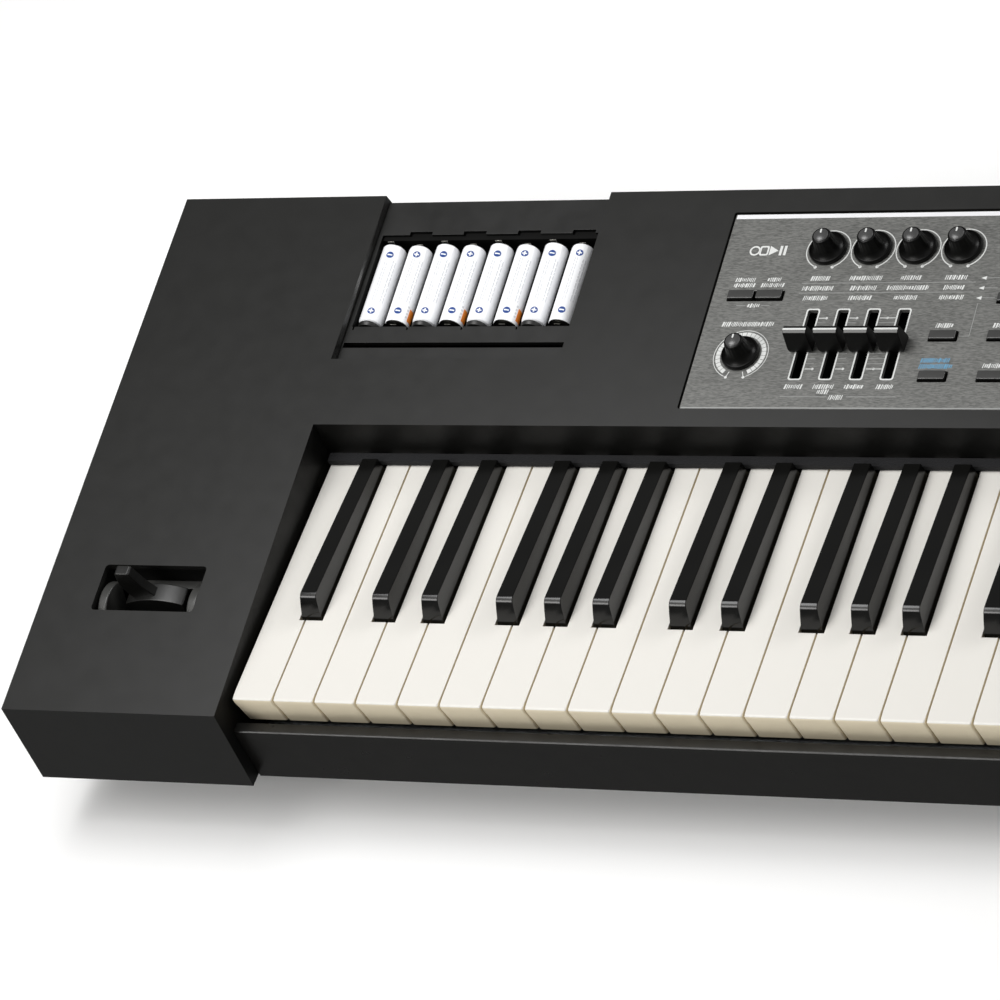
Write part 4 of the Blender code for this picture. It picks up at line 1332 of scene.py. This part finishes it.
def display():
    """The screen under a glossy window, showing plain bars and blocks."""
    u0, u1, v0, v1 = area("display_window")
    window = eased(box(u0, u1, v0, v1, -0.0030, -0.0006), 0.0004, 2)
    frame_width, margin = 0.0075, 0.0105
    glass = rounded(u0 + frame_width, u1 - frame_width, v0 + frame_width, v1 - frame_width, 0.001)
    shapes = [window, tinted(prism(glass, -0.0008, -0.00045), 1)]
    left, right, low, high = u0 + margin, u1 - margin, v0 + margin, v1 - margin
    heights = (0.35, 0.7, 0.5, 0.9, 0.6, 0.8, 0.3, 0.55, 0.75, 0.45, 0.65, 0.25)
    for step, share in enumerate(heights):
        start = left + 0.045 + step * 0.0042
        shapes.append(tinted(box(start, start + 0.0030, low, low + (high - low) * share * 0.6,
                                 -0.0005, -0.00035), 2))
    for row in range(3):
        v = high - 0.0025 - row * 0.0055
        shapes.append(tinted(box(left, left + 0.036 - row * 0.008, v, v + 0.0024, -0.0005,
                                 -0.00035), 2))
    shapes.append(tinted(box(left, right, high - 0.0215, high - 0.0211, -0.0005, -0.00035), 2))
    piece("display_screen", merged(*shapes), ["bezel", "screen", "screen_mark"],
          stands_for=["display_window"], where=DECK)


def panel():
    piece("panel_plate", plate(), ["panel"], stands_for=["control_panel"],
          where=DECK)
    trim_front, trim_back = PANEL_LOW.y + 0.0004, PANEL_HIGH.y - 0.0004
    left, right = PANEL_LOW.x + 0.0007, PANEL_HIGH.x - 0.0007
    piece("panel_trim_back", flat([(left, trim_back - 0.0026), (right, trim_back - 0.0026),
                                   (right, trim_back), (left, trim_back)]), ["trim"], where=DECK)
    # A pale grey line drawn along the plate's front edge.
    piece("panel_front_pale_line", flat([(left, trim_front), (right, trim_front),
                                    (right, trim_front + 0.0007), (left, trim_front + 0.0007)]),
          ["dim_ink"], where=DECK)
    white, grey, blue = [], [], []
    knob_prints(white, grey)
    volume_prints(white)
    slider_prints(white, grey)
    mode_prints(white, grey)
    button_prints(white, grey, blue)
    right_prints(white, grey)
    for name, marks, ink in (("panel_print_white", white, "ink"),
                             ("panel_print_grey", grey, "dim_ink"),
                             ("panel_print_blue", blue, "blue_ink")):
        piece(name, merged(*marks), [ink], where=DECK)
    for number, spot in enumerate(KNOBS, 1):
        knob(f"sound_knob_{number}", spot)
    knob("volume_knob", VOLUME)
    dial()
    for number in range(1, 5):
        slider(number)
    for name in BUTTONS:
        button(name)
    key_mat("tone_button_mat", 8, 3, (0.018, 0.008), 0.0014, "rubber", 0.0020)
    key_mat("pad_mat", 4, 2, (0.032, 0.034), 0.0030, "pad", 0.0040)
    display()
    for name in ("panel_board", "main_board"):
        coat_node(name, "board")


# ---------------------------------------------------------------- back

JACK_Z = (JACK_LOW.z + JACK_HIGH.z) / 2
SMALL_JACKS = (-0.100, -0.068, -0.036, -0.004, 0.028)
ROUND_SOCKETS = (0.070, 0.104)
MICROPHONE_U = 0.144
USB_U = 0.2025
INLET_U = 0.276
SWITCH_LOW, SWITCH_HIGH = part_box("power_switch")
SWITCH_U = (SWITCH_LOW.x + SWITCH_HIGH.x) / 2
PLATE_FRONT, PLATE_BACK = JACK_LOW.y, JACK_HIGH.y


def along_y(shape):
    """A shape turned from Z to the back."""
    return turned(shape, -90.0, "X")


def tube_y(outer, inner, y0, y1):
    """A ring that stands out of the back plate, along Y."""
    steps = 40
    ring_shape = lathe([(inner, y0), (outer, y0), (outer, y1 - 0.0003), (outer - 0.0003, y1),
                        (inner + 0.0002, y1), (inner, y1 - 0.0004)], steps)
    # The lathe closes both ends with a face: the first and last rings are joined instead
    caps = [face for face in ring_shape.faces if len(face.verts) == steps]
    bmesh.ops.delete(ring_shape, geom=caps, context="FACES_ONLY")
    open_edges = [edge for edge in ring_shape.edges if len(edge.link_faces) == 1]
    bmesh.ops.bridge_loops(ring_shape, edges=open_edges)
    bmesh.ops.recalc_face_normals(ring_shape, faces=ring_shape.faces)
    return along_y(ring_shape)


def hexagon_nut(radius, y0, y1):
    nut = prism(arc(0.0, 0.0, radius, 0, 300, 5), y0, y1, "Y")
    hole = along_y(disc(0.0036, y0 - 0.01, y1 + 0.01, 32))
    return eased(carved(nut, hole), 0.0003, 2)


def at_socket(shape, u):
    return at(shape, u, 0.0, JACK_Z)


def bore(u, radius):
    return at_socket(along_y(disc(radius, PLATE_FRONT + 0.0025, PLATE_BACK + 0.02, 40)), u)


def socket_plate():
    """The painted plate with a bore for each socket and an opening for the switch."""
    y0, y1 = PLATE_FRONT, PLATE_BACK
    base = box(JACK_LOW.x, JACK_HIGH.x, y0, y1, JACK_LOW.z, JACK_HIGH.z)
    bores = [bore(u, 0.0033) for u in SMALL_JACKS] + [bore(u, 0.0070) for u in ROUND_SOCKETS]
    bores += [bore(MICROPHONE_U, 0.0060), bore(INLET_U, 0.0055)]
    bores.append(at_socket(box(-0.0065, 0.0065, y0 + 0.0025, y1 + 0.02, -0.0055, 0.0055), USB_U))
    bores.append(at_socket(box(-0.0115, 0.0115, y0 - 0.02, y1 + 0.02, -0.0068, 0.0068), SWITCH_U))
    body = carved(base, merged(*bores))
    eased(body, 0.0003, 2, lambda middle, edge: middle.y > y1 - 0.0002, least=50.0)
    piece("socket_plate", body, ["jack_metal"],
          stands_for=["rear_jack_panel"])


def socket_fittings():
    """Nuts, rings, pins, inserts and screws, and a plain mark over each socket."""
    y0, y1 = PLATE_FRONT, PLATE_BACK
    bright = [at_socket(hexagon_nut(0.0062, y1 - 0.0001, y1 + 0.0009), u) for u in SMALL_JACKS]
    dark, gold = [], []
    for u, radius in [(u, 0.0070) for u in ROUND_SOCKETS] + [(MICROPHONE_U, 0.0060)]:
        bright.append(at_socket(tube_y(radius + 0.0012, radius, y1 - 0.0003, y1 + 0.0008), u))
    for u in ROUND_SOCKETS:
        insert = bore(u, 0.0068)
        bmesh.ops.scale(insert, vec=(1.0, 0.12, 1.0), verts=insert.verts,
                        space=Matrix.Translation((0.0, -(y0 + 0.0026), 0.0)))
        dark.append(insert)
        for pin in range(5):
            turn = math.radians(-180 + 45 * pin)
            gold.append(at(box(-0.0005, 0.0005, y0 + 0.003, y0 + 0.0072, -0.0005, 0.0005),
                           u + 0.0042 * math.cos(turn), 0.0, JACK_Z - 0.0042 * math.sin(turn)))
    pin = along_y(lathe([(0.0, y0 + 0.002), (0.0011, y0 + 0.002), (0.0011, y1 - 0.0020),
                         (0.0006, y1 - 0.0014), (0.0, y1 - 0.0014)], 20))
    gold.append(at_socket(pin, INLET_U))
    dark.append(at_socket(box(-0.0030, 0.0030, y0 + 0.0026, y1 - 0.0020, -0.0016, 0.0016), USB_U))
    dark.append(at_socket(tube_y(0.0075, 0.0055, y1 - 0.0004, y1 + 0.0007), INLET_U))
    for u in (JACK_LOW.x + 0.006, 0.045, 0.230, JACK_HIGH.x - 0.006):
        for z in (JACK_LOW.z + 0.005, JACK_HIGH.z - 0.005):
            bright.append(at(along_y(screw(0.0026, 0.0009)), u, y1 - 0.0001, z))
    piece("socket_rings", merged(*bright), ["nickel"])
    piece("socket_inserts", merged(*dark), ["control"])
    piece("socket_pins", merged(*gold), ["brass"])

    upright = Matrix.Rotation(math.pi, 4, "Z") @ Matrix.Rotation(math.pi / 2, 4, "X")
    marks = []
    for number, u in enumerate([*SMALL_JACKS, *ROUND_SOCKETS, MICROPHONE_U, USB_U, INLET_U,
                                SWITCH_U]):
        mark = word(0.0, 0.0, 0.0130, 0.0022, seed=200 + number, lean=0.0)
        marks.append(moved(mark, Matrix.Translation((u, y1, JACK_HIGH.z - 0.0055)) @ upright))
    piece("socket_print", merged(*marks), ["dim_ink"])


def power_rocker():
    """The mains switch, at rest in its off position."""
    profile = [(-0.0100, -0.0040), (0.0100, -0.0040), (0.0100, 0.0045), (0.0060, 0.0036),
               (0.0, 0.0031), (-0.0060, 0.0036), (-0.0100, 0.0045)]
    rocker = eased(prism(profile, -0.0060, 0.0060), 0.0004, 2, least=40.0)
    dash = tinted(box(0.0058, 0.0064, 0.0036, 0.0040, -0.0022, 0.0022), 1)
    place = Matrix.Translation((SWITCH_U, JOINTS["power_switch_rock"]["pos_m"][1], JACK_Z))
    piece("power_rocker", merged(rocker, dash), ["control", "ink"], body="power_switch",
          stands_for=["power_switch"],
          where=place @ Matrix.Rotation(math.radians(-8), 4, "Z"))


# ---------------------------------------------------------------- stage

SUNS = (("key_light", (-0.25, -0.30, 1.0), 0.8, 36, (1.0, 0.99, 0.97)),
        ("side_light", (0.9, -0.10, 0.9), 0.3, 50, (1.0, 1.0, 1.0)),
        ("front_light", (-0.45, -0.68, 0.58), 1.2, 24, (1.0, 0.99, 0.97)),
        ("rim_light", (0.68, 0.58, 0.45), 0.9, 20, (1.0, 1.0, 1.0)))
BOX_SIZE, BOX_ENERGY, BOX_REACH = 0.5, 6.0, 1.13
BOX_TARGET, BOX_AWAY = Vector((-0.280, -0.460, 0.091)), Vector((-0.386, 0.396, 0.833))
SKY = 0.22
CAMERA_PLACE = (0.702356, -1.542936, 1.876207)
CAMERA_TURNS = (43.7918, 19.6029, 18.7134)
CAMERA_LENS = 186.0


def aimed(name, lamp, away):
    """A lamp that shines from this direction."""
    made = linked(name, lamp)
    made.rotation_euler = away.to_track_quat("Z", "Y").to_euler()
    return made


def stage():
    """A pale floor, broad soft lights and the camera."""
    made, tree, shader = blank("floor_paper")
    tree.links.new(mixed(tree, noise(tree, 0.35, 3.0), (0.94, 0.94, 0.94), (0.96, 0.96, 0.96)),
                   shader.inputs["Base Color"])
    filled(shader, Roughness=0.9, Specular_IOR_Level=0.1)
    floor = bmesh.new()
    bmesh.ops.create_grid(floor, x_segments=1, y_segments=1, size=30.0)
    ground = linked("floor", mesh_of(floor, "floor"))
    ground.data.materials.append(made)
    ground.location.z = -0.0002
    ground.visible_glossy = False

    for name, away, strength, spread, colour in SUNS:
        lamp = bpy.data.lights.new(name, "SUN")
        lamp.energy = strength
        lamp.angle = math.radians(spread)
        lamp.color = colour
        aimed(name, lamp, Vector(away))

    # A soft box over the back left, mirrored by the deck's front and right more than its rear
    lamp = bpy.data.lights.new("soft_box", "AREA")
    lamp.shape = "RECTANGLE"
    lamp.size = lamp.size_y = BOX_SIZE
    lamp.energy = BOX_ENERGY
    aimed("soft_box", lamp, BOX_AWAY).location = BOX_TARGET + BOX_AWAY * BOX_REACH

    world = bpy.data.worlds.new("studio")
    world.use_nodes = True
    filled(world.node_tree.nodes["Background"], Color=(1.0, 1.0, 1.0, 1.0), Strength=SKY)
    scene.world = world
    scene.view_settings.view_transform = "Standard"

    lens = bpy.data.cameras.new("camera")
    lens.lens = CAMERA_LENS
    lens.sensor_width = 36.0
    lens.clip_end = 50.0
    camera = linked("camera", lens)
    camera.location = CAMERA_PLACE
    camera.rotation_euler = Euler([math.radians(turn) for turn in CAMERA_TURNS])
    scene.camera = camera


stage()
case()
keyboard()
bender()
batteries()
panel()
socket_plate()
socket_fittings()
power_rocker()
